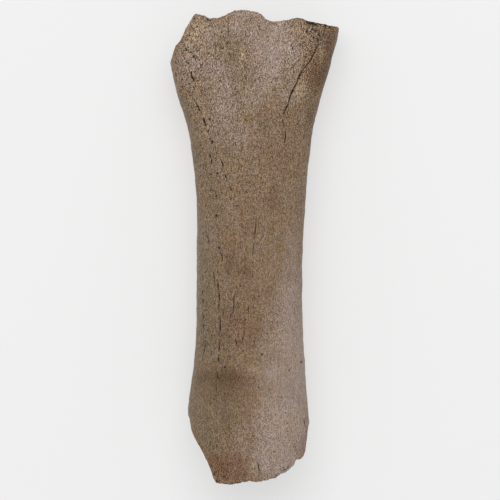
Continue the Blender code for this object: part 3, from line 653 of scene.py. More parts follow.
class StudioSettings(bpy.types.PropertyGroup):
    """Camera, floor and light."""

    camera_height: FloatProperty(
        name="Camera height", description="Height over the floor", default=8.0, unit="LENGTH"
    )
    frame_width: FloatProperty(
        name="Frame width", description="Width that the picture spans at the bone's outline",
        default=0.566, unit="LENGTH",
    )
    outline_height: FloatProperty(
        name="Outline height", description="Height of the bone's widest outline", default=0.058,
        unit="LENGTH",
    )
    floor: colour("Floor", "Pale studio floor, faintly lit from below", (0.36, 0.36, 0.36))
    floor_glow: FloatProperty(
        name="Floor glow", description="Light that comes up through the floor", default=0.52
    )
    sky: FloatProperty(name="Sky", description="Strength of the even light", default=0.60)
    key: FloatProperty(
        name="Key light", description="Power of the large lamp overhead", default=49, unit="POWER"
    )


class Field:
    """A socket of a shader node. Arithmetic on it adds Math nodes, and node() adds any other."""

    def __init__(self, tree, socket):
        self.tree = tree
        self.socket = socket

    def node(self, kind, settings, sockets, output=0):
        """A new node's output. Its settings are made first, then its sockets are filled or
        linked."""
        made = self.tree.nodes.new(kind)
        for name, value in settings.items():
            setattr(made, name, value)
        for place, value in sockets.items():
            if isinstance(value, Field):
                self.tree.links.new(value.socket, made.inputs[place])
            else:
                made.inputs[place].default_value = value
        return Field(self.tree, made.outputs[output])

    def math(self, operation, *values):
        """A Math node on the values."""
        return self.node("ShaderNodeMath", {"operation": operation}, dict(enumerate(values)))

    def __add__(self, other):
        return self.math("ADD", self, other)

    def __sub__(self, other):
        return self.math("SUBTRACT", self, other)

    def __rsub__(self, other):
        return self.math("SUBTRACT", other, self)

    def __mul__(self, other):
        return self.math("MULTIPLY", self, other)

    def __truediv__(self, other):
        return self.math("DIVIDE", self, other)

    __radd__ = __add__
    __rmul__ = __mul__

    def step(self, low, high):
        """0 below low, 1 above high, eased between."""
        settings = {"interpolation_type": "SMOOTHSTEP"}
        return self.node("ShaderNodeMapRange", settings, {0: self, 1: low, 2: high})

    def most(self, other):
        """The greater of two values."""
        return self.math("MAXIMUM", self, other)

    def scaled(self, factor):
        """A colour or vector times a value."""
        return self.node("ShaderNodeVectorMath", {"operation": "SCALE"}, {
            0: self, VECTOR_FACTOR: factor
        })

    def moved(self, other):
        """A vector plus another."""
        return self.node("ShaderNodeVectorMath", {"operation": "ADD"}, {0: self, 1: other})

    def at_least(self, floor):
        """A vector kept from falling under another one, part by part."""
        return self.node("ShaderNodeVectorMath", {"operation": "MAXIMUM"}, {0: self, 1: floor})

    def stretched(self, scale):
        """A vector times another, part by part."""
        return self.node("ShaderNodeVectorMath", {"operation": "MULTIPLY"}, {0: self, 1: scale})

    def blend(self, other, share):
        """This colour, passing to the other one by the share."""
        settings = {"data_type": "RGBA", "clamp_factor": True}
        other = other if isinstance(other, Field) else (*other, 1.0)
        sockets = {0: share, MIX_FIRST: self, MIX_SECOND: other}
        return self.node("ShaderNodeMix", settings, sockets, output=MIX_RESULT)

    def swing(self, width):
        """Noise from 0 to 1 made to vary about 0, over the width."""
        return (self - 0.5) * width

    def attribute(self, name, output="Fac"):
        """One of the numbers that the mesh keeps for each point."""
        return self.node("ShaderNodeAttribute", {"attribute_name": name}, {}, output)

    def noise(self, size, detail):
        """Noise from 0 to 1 in this space, with lumps of the size."""
        return self.node("ShaderNodeTexNoise", {}, {
            "Vector": self, "Scale": 1 / size, "Detail": detail, "Roughness": NOISE_ROUGHNESS
        })

    def bent(self, size, detail, reach):
        """This space, moved by noise in each direction by up to the reach."""
        noise = self.node("ShaderNodeTexNoise", {}, {
            "Vector": self, "Scale": 1 / size, "Detail": detail
        }, output=1)
        return self.moved(noise.scaled(reach))

    def pits(self, size, share, radius):
        """Round pits, 1 inside and 0 outside, in a share of cells of the size in this space."""
        sockets = {"Vector": self, "Scale": 1 / size, "Randomness": 1.0}
        away = self.node("ShaderNodeTexVoronoi", {}, sockets)
        lot = self.node("ShaderNodeTexVoronoi", {}, sockets, output=1)
        lot = self.node("ShaderNodeSeparateColor", {}, {0: lot})
        wide = radius * (1 - lot / share)
        return (wide * DOT_FILL - away).step(0, radius * DOT_EDGE)


def curve(points, at):
    """A smooth line through (place, value) points: cubic Hermite with centred slopes."""
    places, values = np.array(points).T
    slopes = np.gradient(values, places)
    low = np.clip(np.searchsorted(places, at) - 1, 0, len(places) - 2)
    step = places[low + 1] - places[low]
    share = np.clip((at - places[low]) / step, 0, 1)
    start = (1 + 2 * share) * (1 - share) ** 2 * values[low]
    start = start + share * (1 - share) ** 2 * step * slopes[low]
    end = share**2 * (3 - 2 * share) * values[low + 1]
    return start + end + share**2 * (share - 1) * step * slopes[low + 1]


def smooth(low, high, value):
    """0 below low and 1 above high, with an eased rise between."""
    share = np.clip((value - low) / (high - low), 0, 1)
    return share * share * (3 - 2 * share)


def noise(points, size, seed):
    """Smooth noise from -1 to 1: values at random on a lattice, eased between its corners."""
    lattice = np.random.default_rng(seed).uniform(-1, 1, (LATTICE,) * 3)
    scaled = points / size
    cell = np.floor(scaled).astype(int)
    share = scaled - cell
    share = share * share * (3 - 2 * share)
    total = 0
    for corner in np.ndindex(2, 2, 2):
        weight = np.prod(np.where(np.array(corner), share, 1 - share), axis=-1)
        index = (cell + corner) % LATTICE
        total = total + weight * lattice[index[..., 0], index[..., 1], index[..., 2]]
    return total


def lumps(points, rows, seed):
    """Noise of several sizes added up: (size, height)."""
    return sum(tall * noise(points, size, seed + i) for i, (size, tall) in enumerate(rows))


def cells(points, size, seed):
    """Distances to the nearest and second nearest of one random spot per cube, and the nearest
    one's own random number. Distances are shares of the cubes' size."""
    rng = np.random.default_rng(seed)
    spots = rng.uniform(0, 1, (LATTICE,) * 3 + (3,))
    numbers = rng.uniform(0, 1, (LATTICE,) * 3)
    scaled = points / size
    cell = np.floor(scaled).astype(int)
    first = np.full(scaled.shape[:-1], np.inf)
    second = first.copy()
    number = np.zeros(first.shape)
    for offset in np.ndindex(3, 3, 3):
        near = cell + offset - 1
        i, j, k = (near[..., axis] % LATTICE for axis in range(3))
        away = np.linalg.norm(near + spots[i, j, k] - scaled, axis=-1)
        second = np.minimum(second, np.maximum(first, away))
        number = np.where(away < first, numbers[i, j, k], number)
        first = np.minimum(first, away)
    return first, second, number


def section(angle, along):
    """The smooth wall: at each place along the bone a squared ellipse, whose radius at an angle is
    (|cos / half width|^power + |sin / half depth|^power)^(-1 / power), raised by the twist."""
    lateral = curve(LATERAL_EDGE, along)
    medial = curve(MEDIAL_EDGE, along)
    front = curve(FRONT_LINE, along)
    back = curve(BACK_LINE, along)
    is_front = np.sin(angle) > 0
    power = np.where(is_front, curve(FRONT_FULLNESS, along), curve(BACK_FULLNESS, along))
    half_width = (medial - lateral) / 2
    half_depth = (front - back) / 2
    across_part = (np.abs(np.cos(angle)) / half_width) ** power
    depth_part = (np.abs(np.sin(angle)) / half_depth) ** power
    radius = (across_part + depth_part) ** (-1 / power)
    x = (medial + lateral) / 2 + radius * np.cos(angle)
    z = (front + back) / 2 + radius * np.sin(angle) + curve(TWIST, along) * x
    return np.stack([x, along + 0 * x, z], axis=-1)


def rim(angle, front_points, back_points, seed):
    """How far along the bone the wall is broken at each angle: the rim's height over the place
    across at which the wall crosses it, found in a few rounds, plus ragged noise."""
    front_x, front_y = np.array(front_points).T
    back_x, back_y = np.array(back_points).T
    along = np.full(angle.shape, front_y[0])
    for _ in range(RIM_ROUNDS):
        x = section(angle, along)[..., 0]
        on_front = np.interp(x, front_x, front_y)
        on_back = np.interp(x, back_x, back_y)
        along = np.where(np.sin(angle) > 0, on_front, on_back)
    circle = np.stack([np.cos(angle), np.sin(angle), 0 * angle], axis=-1)
    return along + lumps(circle, RIM_CHIPS, seed) * np.sign(-along)


def distance_to_line(x, y, places):
    """The least distance to a run of straight stretches, how far along it, 0 to 1, and on which
    side of it, 1 or -1."""
    lengths = [np.hypot(b[0] - a[0], b[1] - a[1]) for a, b in zip(places, places[1:])]
    best = np.full(x.shape, np.inf)
    progress = np.zeros(x.shape)
    side = np.ones(x.shape)
    passed = 0.0
    for (x0, y0), (x1, y1), length in zip(places, places[1:], lengths):
        share = ((x - x0) * (x1 - x0) + (y - y0) * (y1 - y0)) / length**2
        share = np.clip(share, 0, 1)
        away = np.hypot(x - x0 - share * (x1 - x0), y - y0 - share * (y1 - y0))
        nearer = away < best
        best = np.where(nearer, away, best)
        progress = np.where(nearer, (passed + share * length) / sum(lengths), progress)
        turn = (x1 - x0) * (y - y0) - (y1 - y0) * (x - x0)
        side = np.where(nearer, np.where(turn > 0, 1, -1), side)
        passed += length
    return best, progress, side


def lines(x, y, rows):
    """Grooves or ridges along lines: a rounded section that fades at both ends of a line."""
    height = np.zeros(x.shape)
    for half_width, tall, places in rows:
        away, progress, _ = distance_to_line(x, y, places)
        fade = np.sqrt(np.clip(4 * progress * (1 - progress), LINE_END, 1))
        rounded = np.clip(1 - (away / half_width / fade) ** 2, 0, 1)
        height = np.maximum(height, tall * fade * rounded)
    return height


def cores(x, y, rows):
    """The dark cores of cracks, painted shade in gaps too thin for the mesh: a distance to the
    nearest line that is above 0 on one side of it and below on the other, and the core's half width
    near that line."""
    best = np.full(x.shape, np.inf)
    across = np.full(x.shape, CORE_REACH)
    wide = np.zeros(x.shape)
    for half_width, _, places in rows:
        away, progress, side = distance_to_line(x, y, places)
        fade = np.clip(4 * progress * (1 - progress), LINE_END, 1)
        near = 1 - smooth(CORE_REACH / 2, CORE_REACH, away)
        nearer = away < best
        best = np.where(nearer, away, best)
        across = np.where(nearer, side * np.minimum(away, CORE_REACH), across)
        wide = np.where(nearer, CORE_SHARE * half_width * fade * near, wide)
    return across, wide


def mounds(x, y, rows):
    """Swellings, hollows or stains shaped like a bell, added up."""
    total = np.zeros(x.shape)
    for x0, y0, width, length, height in rows:
        total += height * np.exp(-(((x - x0) / width) ** 2) - ((y - y0) / length) ** 2)
    return total


def bowls(x, y, rows):
    """Round bowls: (across, along, radius, depth)."""
    depth = np.zeros(x.shape)
    for x0, y0, radius, deep in rows:
        away = np.hypot(x - x0, y - y0) / radius
        depth = np.maximum(depth, deep * np.clip(1 - away**2, 0, 1))
    return depth


def normals(grid):
    """Outward unit normals of a grid of closed rings that follow each other along the bone."""
    around = np.roll(grid, -1, axis=1) - np.roll(grid, 1, axis=1)
    along = np.gradient(grid, axis=0)
    out = np.cross(along, around)
    return out / np.maximum(np.linalg.norm(out, axis=-1, keepdims=True), TINY)


def spread(weight, places, count):
    """count of the places, as close together as the weight there is high."""
    passed = np.concatenate([[0], np.cumsum((weight[1:] + weight[:-1]) / 2 * np.diff(places))])
    return np.interp(np.arange(count) / count * passed[-1], passed, places)


def ring_angles(shape):
    """Angles round the bone, from +X by way of +Z, closer together on the front."""
    fine = np.linspace(0, 2 * np.pi, FINE_STEPS)
    weight = 1 + shape.front_detail * smooth(*FRONT_RISE, np.sin(fine))
    return spread(weight, fine, shape.columns)


def wall_rows(shape):
    """Shares of the wall's length for its rows, closer at the hip and at both rims, and the rows'
    inset there: a quarter circle of the rims' wear."""
    fine = np.linspace(0, 1, FINE_STEPS)
    even = spread(1 + HIP_DETAIL * smooth(*HIP_STRETCH, fine), fine, shape.rows)
    near = np.array(RIM_ROWS) / WALL_LENGTH
    clear = near[-1] + ROW_ROOM / shape.rows
    inner = even[(even > clear) & (even < 1 - clear)]
    share = np.concatenate([near, inner, 1 - near[::-1]])
    from_rim = np.minimum(share, 1 - share) * WALL_LENGTH
    left = np.clip(1 - from_rim / shape.rim_wear, 0, 1)
    return share, shape.rim_wear * (1 - np.sqrt(1 - left**2))


def grain_space(angle, along, share):
    """Where the grain is read: on a cylinder as long round as the shaft is at its middle, so that
    the grain widens with the bone, and squeezed along it, so that it comes out stretched."""
    ring = section(np.append(angle, 2 * np.pi), np.zeros(len(angle) + 1))
    steps = np.linalg.norm(np.diff(ring, axis=0), axis=-1)
    turn = 2 * np.pi * np.concatenate([[0], np.cumsum(steps)[:-1]]) / steps.sum()
    radius = steps.sum() / (2 * np.pi) * share
    fine = np.linspace(-GRAIN_REACH, GRAIN_REACH, FINE_STEPS)
    run = np.cumsum(curve(GRAIN_STRETCH, fine)) * (fine[1] - fine[0])
    squeezed = np.interp(along, fine, run)
    flat = [radius * np.cos(turn), radius * np.sin(turn), squeezed]
    return np.stack(np.broadcast_arrays(*flat), axis=-1)


def pores(grain, seed):
    """Depth of the pores: in a share of the grain's cells, a bowl round the cell's spot, as wide
    and deep as the cell's own number says."""
    depth = np.zeros(grain.shape[:-1])
    for i, (size, kept, radius, deep) in enumerate(PORES):
        first, _, number = cells(grain, size, seed + i)
        wide = radius * (PORE_LEAST + PORE_MORE * number / kept)
        bowl = np.where(number < kept, np.clip(1 - (first / wide) ** 2, 0, 1), 0)
        depth = np.maximum(depth, size * deep * bowl)
    return depth


def stains(points, front):
    """Strengths of the stains: the named patches on the front, and broad noise on the back."""
    x, y = points[..., 0], points[..., 1]
    strengths = []
    for i, rows in enumerate((RUST, PALE, TAN, OLIVE, DARK)):
        broad = noise(points, BACK_STAIN_SIZE, SEEDS["stains"] + i)
        behind = BACK_STAIN * smooth(*BACK_STAIN_EDGE, broad)
        strengths.append(front * mounds(x, y, rows) + (1 - front) * behind)
    return np.stack(strengths, axis=-1)


def wall(shape, angle):
    """The outside from the knee rim to the hip rim: the section carried from rim to rim and moved
    along its normals by the relief. Each point has its place and then the CHANNELS."""
    knee = rim(angle, KNEE_RIM_FRONT, KNEE_RIM_BACK, SEEDS["knee rim"])
    hip = rim(angle, HIP_RIM_FRONT, HIP_RIM_BACK, SEEDS["hip rim"])
    share, inset = wall_rows(shape)
    along = knee + (hip - knee) * share[:, None]
    grid = section(angle + 0 * along, along)
    x, y = grid[..., 0], grid[..., 1]
    front = smooth(*SIDE_FADE, np.sin(angle))
    back = smooth(*SIDE_FADE, -np.sin(angle))
    grain = grain_space(angle, along, 1.0)
    pits = tuple((x0, y0, PIT_RADIUS * size, PIT_DEPTH * size) for x0, y0, size in FRONT_PITS)
    zone = np.clip(PORE_SHARE + front * mounds(x, y, PORE_ZONES), *PORE_LIMITS)
    small = pores(grain, SEEDS["pores"]) * zone * shape.pore_depth
    cracks = front * np.maximum(lines(x, y, FRONT_CRACKS), bowls(x, y, pits))
    cracks = (cracks + back * lines(x, y, BACK_CRACKS)) * shape.crack_depth
    relief = front * mounds(x, y, FRONT_RELIEF) + back * mounds(x, y, BACK_RELIEF)
    relief += back * lines(x, y, BACK_RIDGES) + lumps(grid, LUMPS, SEEDS["lumps"])
    relief += lumps(grain, GRAIN, SEEDS["grain"]) * zone
    relief -= front * (lines(x, y, FRONT_BEVELS) + bowls(x, y, FRONT_SCARS))
    relief -= np.maximum(cracks, small) + inset[:, None]
    stained = stains(grid, smooth(*STAIN_FADE, np.sin(angle)))
    grid = carry(grid + normals(grid) * relief[..., None], back)
    # Painted shade in the grooves of cracks and pits, darker with their depth.
    groove_shade = GROOVE_SHADE_SHARE * np.clip(cracks / GROOVE_SHADE_DEPTH, 0, 1)
    # A mark round each named pit, which only carries its painted shade.
    reaches = tuple((x0, y0, PIT_REACH * size, 1.0) for x0, y0, size in FRONT_PITS)
    pit = front * bowls(x, y, reaches)
    # Painted shade in the pores, darker with their depth.
    shaded_pores = np.clip(small / PORE_SHADE_DEPTH, 0, 1)
    across, core = np.where(front > 0, cores(x, y, FRONT_CRACKS), cores(x, y, BACK_CRACKS))
    core = core * np.maximum(front, back)
    coarse = curve(COARSENESS, along) * (COARSE_BASE + (1 - COARSE_BASE) * zone / PORE_SHARE)
    slit = front * mounds(x, y, SLIT_ZONES)
    flat = 0 * shaded_pores
    finish = np.stack([groove_shade, shaded_pores, flat, flat, across, core, pit, coarse, slit], axis=-1)
    return np.concatenate([grid, grain, finish, stained], axis=-1)


def carry(grid, back):
    """Swells the back at the four rests until their crowns meet the ground, which wears them
    flat."""
    x, y = grid[..., 0], grid[..., 1]
    pull = np.zeros(x.shape)
    for x0, y0, width, length in RESTS:
        pull = np.maximum(pull, np.exp(-(((x - x0) / width) ** 2) - ((y - y0) / length) ** 2))
    grid[..., 2] -= back * pull * (grid[..., 2] + REST_WEAR)
    grid[..., 2] = np.maximum(grid[..., 2], 0)
    return grid


def broken_face(shape, angle, edge, seed):
    """Rings from a rim inwards: a rough band of dense wall round spongy bone. The rim's waves fade
    inwards as in a soap film, each by the share of the way out to the power of its number, and the
    face is then moved along the bone by noise and by the hollows of its cells."""
    share = np.linspace(1, 0, shape.face_rings + 2)[1:-1, None]
    waves = np.fft.rfft(edge[:, PLACE], axis=0)
    fineness = np.arange(len(waves))[:, None]
    rings = np.fft.irfft(waves * share[..., None] ** fineness, n=len(edge), axis=1)
    sunk = 1 - smooth(*WALL_BAND, share)
    eased = smooth(0, RIM_EASE, 1 - share)
    rough = lumps(rings, SPONGE_LUMPS, seed) * (WALL_ROUGHNESS + (1 - WALL_ROUGHNESS) * sunk)
    depth = np.zeros(rings.shape[:-1])
    for i, (size, deep) in enumerate(SPONGE_CELLS):
        first, second, _ = cells(rings, size, seed + CELL_SEED + i)
        depth = np.maximum(depth, deep * smooth(*STRUT_EDGE, second - first))
    depth = depth * (WALL_PORES + (1 - WALL_PORES) * sunk) * eased
    outward = np.sign(rings[-1, 0, 1])
    rings[..., 1] += outward * ((rough - SPONGE_FALL * sunk) * eased - depth)
    grain = grain_space(angle, rings[..., 1], share)
    # How deep the cells' hollows are, which gives them the sponge colour and painted shade.
    hollow = np.clip(depth / SPONGE_CELLS[0][1], 0, 1)
    kept = share[..., None] ** STAIN_DEPTH
    flat = 0 * hollow
    finish = [flat, flat, sunk + flat, hollow, flat + CORE_REACH, flat, flat, flat + 1, flat]
    finish = np.stack(finish, axis=-1)
    return np.concatenate([rings, grain, finish, edge[:, -STAINS:] * kept], axis=-1)


def between(outer, inner):
    """Faces between a ring of points and the next one in, which has as many points or half."""
    beside, next_in = np.roll(outer, -1), np.roll(inner, -1)
    if len(outer) == len(inner):
        return np.stack([outer, inner, next_in, beside], axis=-1).tolist()
    even, odd, after = outer[::2], outer[1::2], np.roll(outer, -2)[::2]
    faces = [(even, inner, odd), (inner, next_in, odd), (next_in, after, odd)]
    return np.concatenate([np.stack(face, axis=-1) for face in faces]).tolist()


def thinned(rings, first):
    """The points that a face keeps, fewer to a ring towards its middle, with their numbers."""
    points, numbers = [], []
    for i, ring in enumerate(rings):
        share = 1 - (i + 1) / (len(rings) + 1)
        kept = ring[:: 1 if share > HALF_RING else 2 if share > QUARTER_RING else 4]
        numbers.append(first + np.arange(len(kept)))
        points.append(kept)
        first += len(kept)
    points.append(rings[-1].mean(axis=0, keepdims=True))
    return np.concatenate(points), numbers, first


def closed_mesh(name, outside, knee_rings, hip_rings):
    """One closed mesh: the wall's quads, and on each end rings that close in to a point."""
    rows, columns = outside.shape[:2]
    index = np.arange(rows * columns).reshape(rows, columns)
    beside = np.roll(index, -1, axis=1)
    faces = np.stack([index[:-1], index[1:], beside[1:], beside[:-1]], axis=-1)
    faces = faces.reshape(-1, 4).tolist()
    points = [outside.reshape(rows * columns, -1)]
    for rings, edge, turned in ((knee_rings, index[0], True), (hip_rings, index[-1], False)):
        kept, numbers, middle = thinned(rings, sum(len(part) for part in points))
        points.append(kept)
        added = []
        for outer, inner in zip([edge] + numbers, numbers):
            added += between(outer, inner)
        last = numbers[-1]
        fan = np.stack([last, np.full(len(last), middle), np.roll(last, -1)], axis=-1)
        added += fan.tolist()
        faces += [face[::-1] for face in added] if turned else added
    points = np.concatenate(points)
    mesh = bpy.data.meshes.new(name)
    mesh.from_pydata(points[:, PLACE].tolist(), [], faces)
    mesh.shade_smooth()
    fibre = mesh.attributes.new("fibre", "FLOAT_VECTOR", "POINT")
    fibre.data.foreach_set("vector", points[:, FIBRE].ravel())
    for i, channel in enumerate(CHANNELS):
        values = mesh.attributes.new(channel, "FLOAT", "POINT")
        values.data.foreach_set("value", points[:, FIRST_CHANNEL + i].copy())
    return mesh


def placed(parts, low, high):
    """The parts moved level, so that together they have the frame's middle."""
    places = np.concatenate([part[..., PLACE].reshape(-1, 3) for part in parts])
    middle = (places.min(axis=0) + places.max(axis=0)) / 2
    shift = (np.array(low) + np.array(high)) / 2 - middle
    for part in parts:
        part[..., :2] += shift[:2]
    return parts


def femur_mesh(shape):
    """The whole bone: its outside and its two broken ends."""
    angle = ring_angles(shape)
    outside = wall(shape, angle)
    knee_rings = broken_face(shape, angle, outside[0], SEEDS["knee end"])
    hip_rings = broken_face(shape, angle, outside[-1], SEEDS["hip end"])
    outside, knee_rings, hip_rings = placed((outside, knee_rings, hip_rings), *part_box(NODE))
    return closed_mesh(PIECE, outside, knee_rings, hip_rings)


def stained(start, finish, marks, noises):
    """The bone's two browns, the stains over them with edges that noise breaks up, cool and warm
    areas, and the spongy bone's colour on the ends."""
    tone = start.node("ShaderNodeMix", {"data_type": "RGBA"}, {
        0: noises["tint"].step(*TINT_EDGE),
        MIX_FIRST: (*finish.bone, 1.0),
        MIX_SECOND: (*finish.amber, 1.0),
    }, output=MIX_RESULT)
    breakup = noises["mottle"].swing(MOTTLE_BREAKUP) + noises["speck"].swing(SPECK_BREAKUP)
    for name in CHANNELS[-STAINS:]:
        tone = tone.blend(getattr(finish, name), (marks[name] + breakup).step(*STAIN_EDGE))
    warmth = noises["hue"].step(*HUE_EDGE)
    tone = tone.stretched(COOL).blend(tone.stretched(WARM), warmth)
    struts = (marks["sponge"] * SPONGE_TONE).most(marks["hollow"] * HOLLOW_TONE)
    return tone.blend(finish.sponge, struts)


def grained(tone, coarse, noises):
    """A tone with the light that the grain adds or takes: a sum of noises, eased off at both
    sides, times the tone."""
    uneven = noises["mottle"].swing(MOTTLE_LIGHT) + noises["speck"].swing(SPECK_LIGHT)
    uneven = uneven + noises["thread"].swing(THREAD_LIGHT)
    grains = noises["sand"].swing(SAND_LIGHT) + noises["hatch"].swing(HATCH_LIGHT)
    light = (uneven + grains * coarse).step(*LIGHT_EDGE) * LIGHT_SPAN
    light = light + (coarse * COARSE_LIGHT - LIGHT_FALL)
    return tone.moved(tone.stretched(GRIT).scaled(light)).at_least(DARKEST)


def fine_cells(place, sponge):
    """Holes of the spongy bone that are too fine for the mesh, 1 inside: the distance to the walls
    between cells round random spots, in a space bent by noise."""
    bent = place.bent(*BEND, WEB_BEND)
    web = bent.node("ShaderNodeTexVoronoi", {"feature": "DISTANCE_TO_EDGE"}, {
        "Vector": bent, "Scale": 1 / WEB_SIZE
    })
    return web.step(*WEB_EDGE) * sponge


def crack_lip_highlight(across, core):
    """The painted highlight on the lit lip of one side of a crack, by the distance across it."""
    lip = across.step(*LIP_START) * (1.0 - across.step(*LIP_STOP))
    return lip * core.step(*LIP_CORE)


def crack_shade_line(across, core, speck, streak):
    """A crack's dark core of painted shade, 1 inside: where its half width, narrowed by noise, is
    more than the distance across it, bent by noise."""
    wide = core * (speck.step(*NARROW_EDGE) * NARROW_SHARE + (1 - NARROW_SHARE))
    bent = across + speck.swing(SPECK_BEND) + streak.swing(STREAK_BEND)
    line = (wide - bent.math("ABSOLUTE", bent)).step(*CORE_EDGE)
    return line * core.step(*CORE_LEAST)


def bone_material(finish, shape):
    """Mineral-stained fossil bone: stains with broken edges, fibrous grain stretched along the
    bone, painted shade in pores, slits, pits and cracks, and a painted highlight on crack lips."""
    material = bpy.data.materials.new("fossil_bone")
    material.use_nodes = True
    tree = material.node_tree
    shader = tree.nodes["Principled BSDF"]
    shader.inputs["Sheen Weight"].default_value = DUST
    shader.inputs["Sheen Roughness"].default_value = DUST_ROUGHNESS
    shader.inputs["Specular IOR Level"].default_value = BONE_GLOSS
    start = Field(tree, None)
    place = start.node("ShaderNodeTexCoord", {}, {}, output="Object")
    fibre = start.attribute("fibre", "Vector")
    marks = {name: start.attribute(name) for name in CHANNELS}
    noises = {
        "mottle": fibre.noise(*MOTTLE), "speck": fibre.noise(*SPECK), "sand": fibre.noise(*SAND),
        "thread": fibre.stretched(THREAD_GRAIN).noise(*THREAD),
        "hatch": fibre.stretched(HATCH_GRAIN).noise(*HATCH),
        "tint": fibre.noise(*TINT), "hue": place.noise(*HUE),
    }
    speck = noises["speck"]
    streak = fibre.noise(*STREAK)
    pale = marks["pale"]
    hollow = marks["hollow"]
    slit = marks["slit"]
    slot = fibre.stretched(SLIT_GRAIN)
    slits = slot.pits(*SLITS)
    # Holes of the spongy bone too fine for the mesh, dented in the bump and filled with painted
    # shade.
    holes = fine_cells(place, marks["sponge"])
    dots = fibre.pits(*DOTS) * marks["coarse"].step(*DOT_COARSE)
    coarse = marks["coarse"] * (place.noise(*PATCH) * PATCH_MORE + PATCH_LEAST)
    coarse = coarse * (1.0 - pale * PALE_CALM)

    tone = grained(stained(start, finish, marks, noises), coarse, noises)
    crest = tone.scaled(CREST_GAIN).blend(finish.ridge, CREST_RIDGE)
    crests = streak.step(*CREST_EDGE) * coarse * (slit * CREST_SLIT + CREST_SHARE)
    tone = tone.blend(crest, crests)
    strokes = (1.0 - streak.step(*STROKE_EDGE)).most(dots * DOT_GAIN)
    strokes = strokes * coarse * (STROKE_SHARE - pale * STROKE_PALE)
    tone = tone.blend(tone.stretched(UMBER), strokes)
    # Painted shade in pores, in the broken ends' hollows and in their fine cells.
    sunk = (marks["pore"] * PORE_SHADE).most(hollow * HOLLOW_SHADE).most(holes * HOLE_SHADE)
    tone = tone.blend(finish.crevice_shade, sunk)
    cut = (slit + speck.swing(SLIT_BREAKUP)).step(*SLIT_EDGE)
    tone = tone.blend(crest, slot.pits(*SLIT_RIMS) * cut * SLIT_RIM_SHARE)
    # Painted shade in the small slits, too fine for the mesh.
    tone = tone.blend(finish.crevice_shade, slits * cut * SLIT_SHADE)
    # Painted shade in the named pits and in the grooves.
    pits = (marks["pit"] + streak.swing(PIT_BREAKUP)).step(*PIT_RIM) * PIT_SHADE
    tone = tone.blend(finish.crevice_shade, marks["groove_shade"].most(pits))
    # Painted highlight on the lit lip of each crack, in the tan colour.
    tone = tone.blend(finish.tan, crack_lip_highlight(marks["across"], marks["core"]) * LIP_HIGHLIGHT)
    # Painted shade in the cracks' cores, too thin for the mesh.
    line = crack_shade_line(marks["across"], marks["core"], speck, streak)
    tone = tone.blend(finish.crevice_shade, line * CORE_SHADE)

    height = noises["sand"] * SAND_HEIGHT + streak * STREAK_HEIGHT
    height = height - dots.most(slits * slit) * SLIT_DEPTH - holes * HOLE_DEPTH
    bump = start.node("ShaderNodeBump", {}, {
        "Strength": 1.0, "Distance": shape.fine_grain, "Height": height
    })
    rough = finish.roughness + streak.swing(STREAK_ROUGH) - pale * PALE_SMOOTH
    tree.links.new(tone.socket, shader.inputs["Base Color"])
    tree.links.new(rough.socket, shader.inputs["Roughness"])
    tree.links.new(bump.socket, shader.inputs["Normal"])
    return material


def floor_material(studio):
    """Plain pale matt floor, lit a little from below."""
    material = bpy.data.materials.new("studio_floor")
    material.use_nodes = True
    shader = material.node_tree.nodes["Principled BSDF"]
    shader.inputs["Base Color"].default_value = (*studio.floor, 1.0)
    shader.inputs["Emission Color"].default_value = WHITE
    shader.inputs["Emission Strength"].default_value = studio.floor_glow
    shader.inputs["Roughness"].default_value = FLOOR_ROUGHNESS
    shader.inputs["Specular IOR Level"].default_value = FLOOR_GLOSS
    return material


def link(name, data):
    """A new object in the scene's own collection."""
    made = bpy.data.objects.new(name, data)
    bpy.context.scene.collection.objects.link(made)
    return made


class BONE_OT_build_femur(bpy.types.Operator):
    """Build the femur: its porous, cracked wall and its two broken ends"""

    bl_idname = "bone.build_femur"
    bl_label = "Build femur"

    def execute(self, context):
        scene = context.scene
        piece = link(PIECE, femur_mesh(scene.femur_shape))
        piece.data.materials.append(bone_material(scene.femur_finish, scene.femur_shape))
        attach(piece, "root")
        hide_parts(NODE)
        return {"FINISHED"}


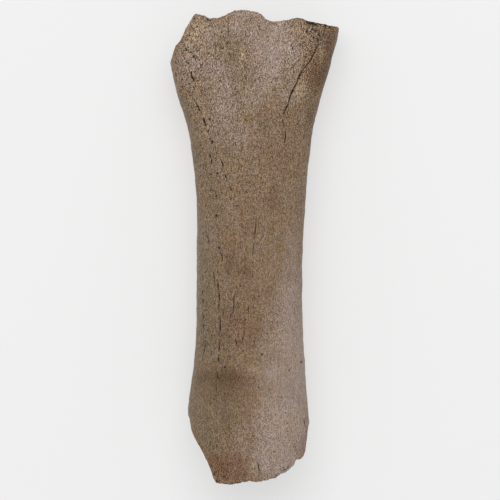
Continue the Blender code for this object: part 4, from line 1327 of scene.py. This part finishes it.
class BONE_OT_build_studio(bpy.types.Operator):
    """Build the studio: a pale floor, soft light and a camera that looks straight down"""

    bl_idname = "bone.build_studio"
    bl_label = "Build studio"

    def execute(self, context):
        scene = context.scene
        studio = scene.femur_studio
        self.floor(studio)
        self.lights(scene, studio)
        self.camera(scene, studio)
        scene.view_settings.view_transform = "Standard"
        return {"FINISHED"}

    def floor(self, studio):
        """One wide square, just under the bone."""
        half = FLOOR_SIZE / 2
        corners = [(-half, -half, FLOOR_LEVEL), (half, -half, FLOOR_LEVEL)]
        corners += [(half, half, FLOOR_LEVEL), (-half, half, FLOOR_LEVEL)]
        mesh = bpy.data.meshes.new("floor")
        mesh.from_pydata(corners, [], [(0, 1, 2, 3)])
        mesh.materials.append(floor_material(studio))
        link("floor", mesh)

    def lights(self, scene, studio):
        """Even light from all round and one large lamp overhead."""
        world = bpy.data.worlds.new("studio")
        world.use_nodes = True
        sky = world.node_tree.nodes["Background"]
        sky.inputs["Color"].default_value = WHITE
        sky.inputs["Strength"].default_value = studio.sky
        scene.world = world
        lamp = bpy.data.lights.new("key", "AREA")
        lamp.shape = "DISK"
        lamp.size = KEY_SIZE
        lamp.energy = studio.key
        key = link("key", lamp)
        key.location = KEY_PLACE
        key.rotation_euler = (-Vector(KEY_PLACE)).to_track_quat("-Z", "Y").to_euler()

    def camera(self, scene, studio):
        """A camera high over the bone that looks straight down and takes in the frame's width."""
        lens = bpy.data.cameras.new("camera")
        away = studio.camera_height - studio.outline_height
        lens.lens = lens.sensor_width * away / studio.frame_width
        lens.clip_end = CLIP_HEIGHTS * studio.camera_height
        camera = link("camera", lens)
        camera.location = (*VIEW_CENTRE, studio.camera_height)
        scene.camera = camera


class BONE_PT_femur(bpy.types.Panel):
    """Settings and steps for the fossil femur"""

    bl_label = "Fossil femur"
    bl_idname = "BONE_PT_femur"
    bl_space_type = "VIEW_3D"
    bl_region_type = "UI"
    bl_category = "Fossil"

    def draw(self, context):
        layout = self.layout
        scene = context.scene
        for settings in (scene.femur_shape, scene.femur_finish, scene.femur_studio):
            box = layout.box()
            for name in settings.__annotations__:
                box.prop(settings, name)
        for step in STEPS:
            layout.operator(step.bl_idname)


STEPS = (BONE_OT_build_studio, BONE_OT_build_femur)
SETTINGS = {
    "femur_shape": FemurShape, "femur_finish": FemurFinish, "femur_studio": StudioSettings,
}


def register():
    """Make the settings, operators and panel known to Blender."""
    for name, group in SETTINGS.items():
        bpy.utils.register_class(group)
        setattr(bpy.types.Scene, name, PointerProperty(type=group))
    for kind in (*STEPS, BONE_PT_femur):
        bpy.utils.register_class(kind)


def unregister():
    """Take back what register made, in reverse."""
    for kind in (BONE_PT_femur, *reversed(STEPS)):
        bpy.utils.unregister_class(kind)
    for name, group in SETTINGS.items():
        delattr(bpy.types.Scene, name)
        bpy.utils.unregister_class(group)


def main():
    """Build the studio and the bone."""
    register()
    bpy.ops.bone.build_studio()
    bpy.ops.bone.build_femur()


if __name__ == "__main__":
    main()
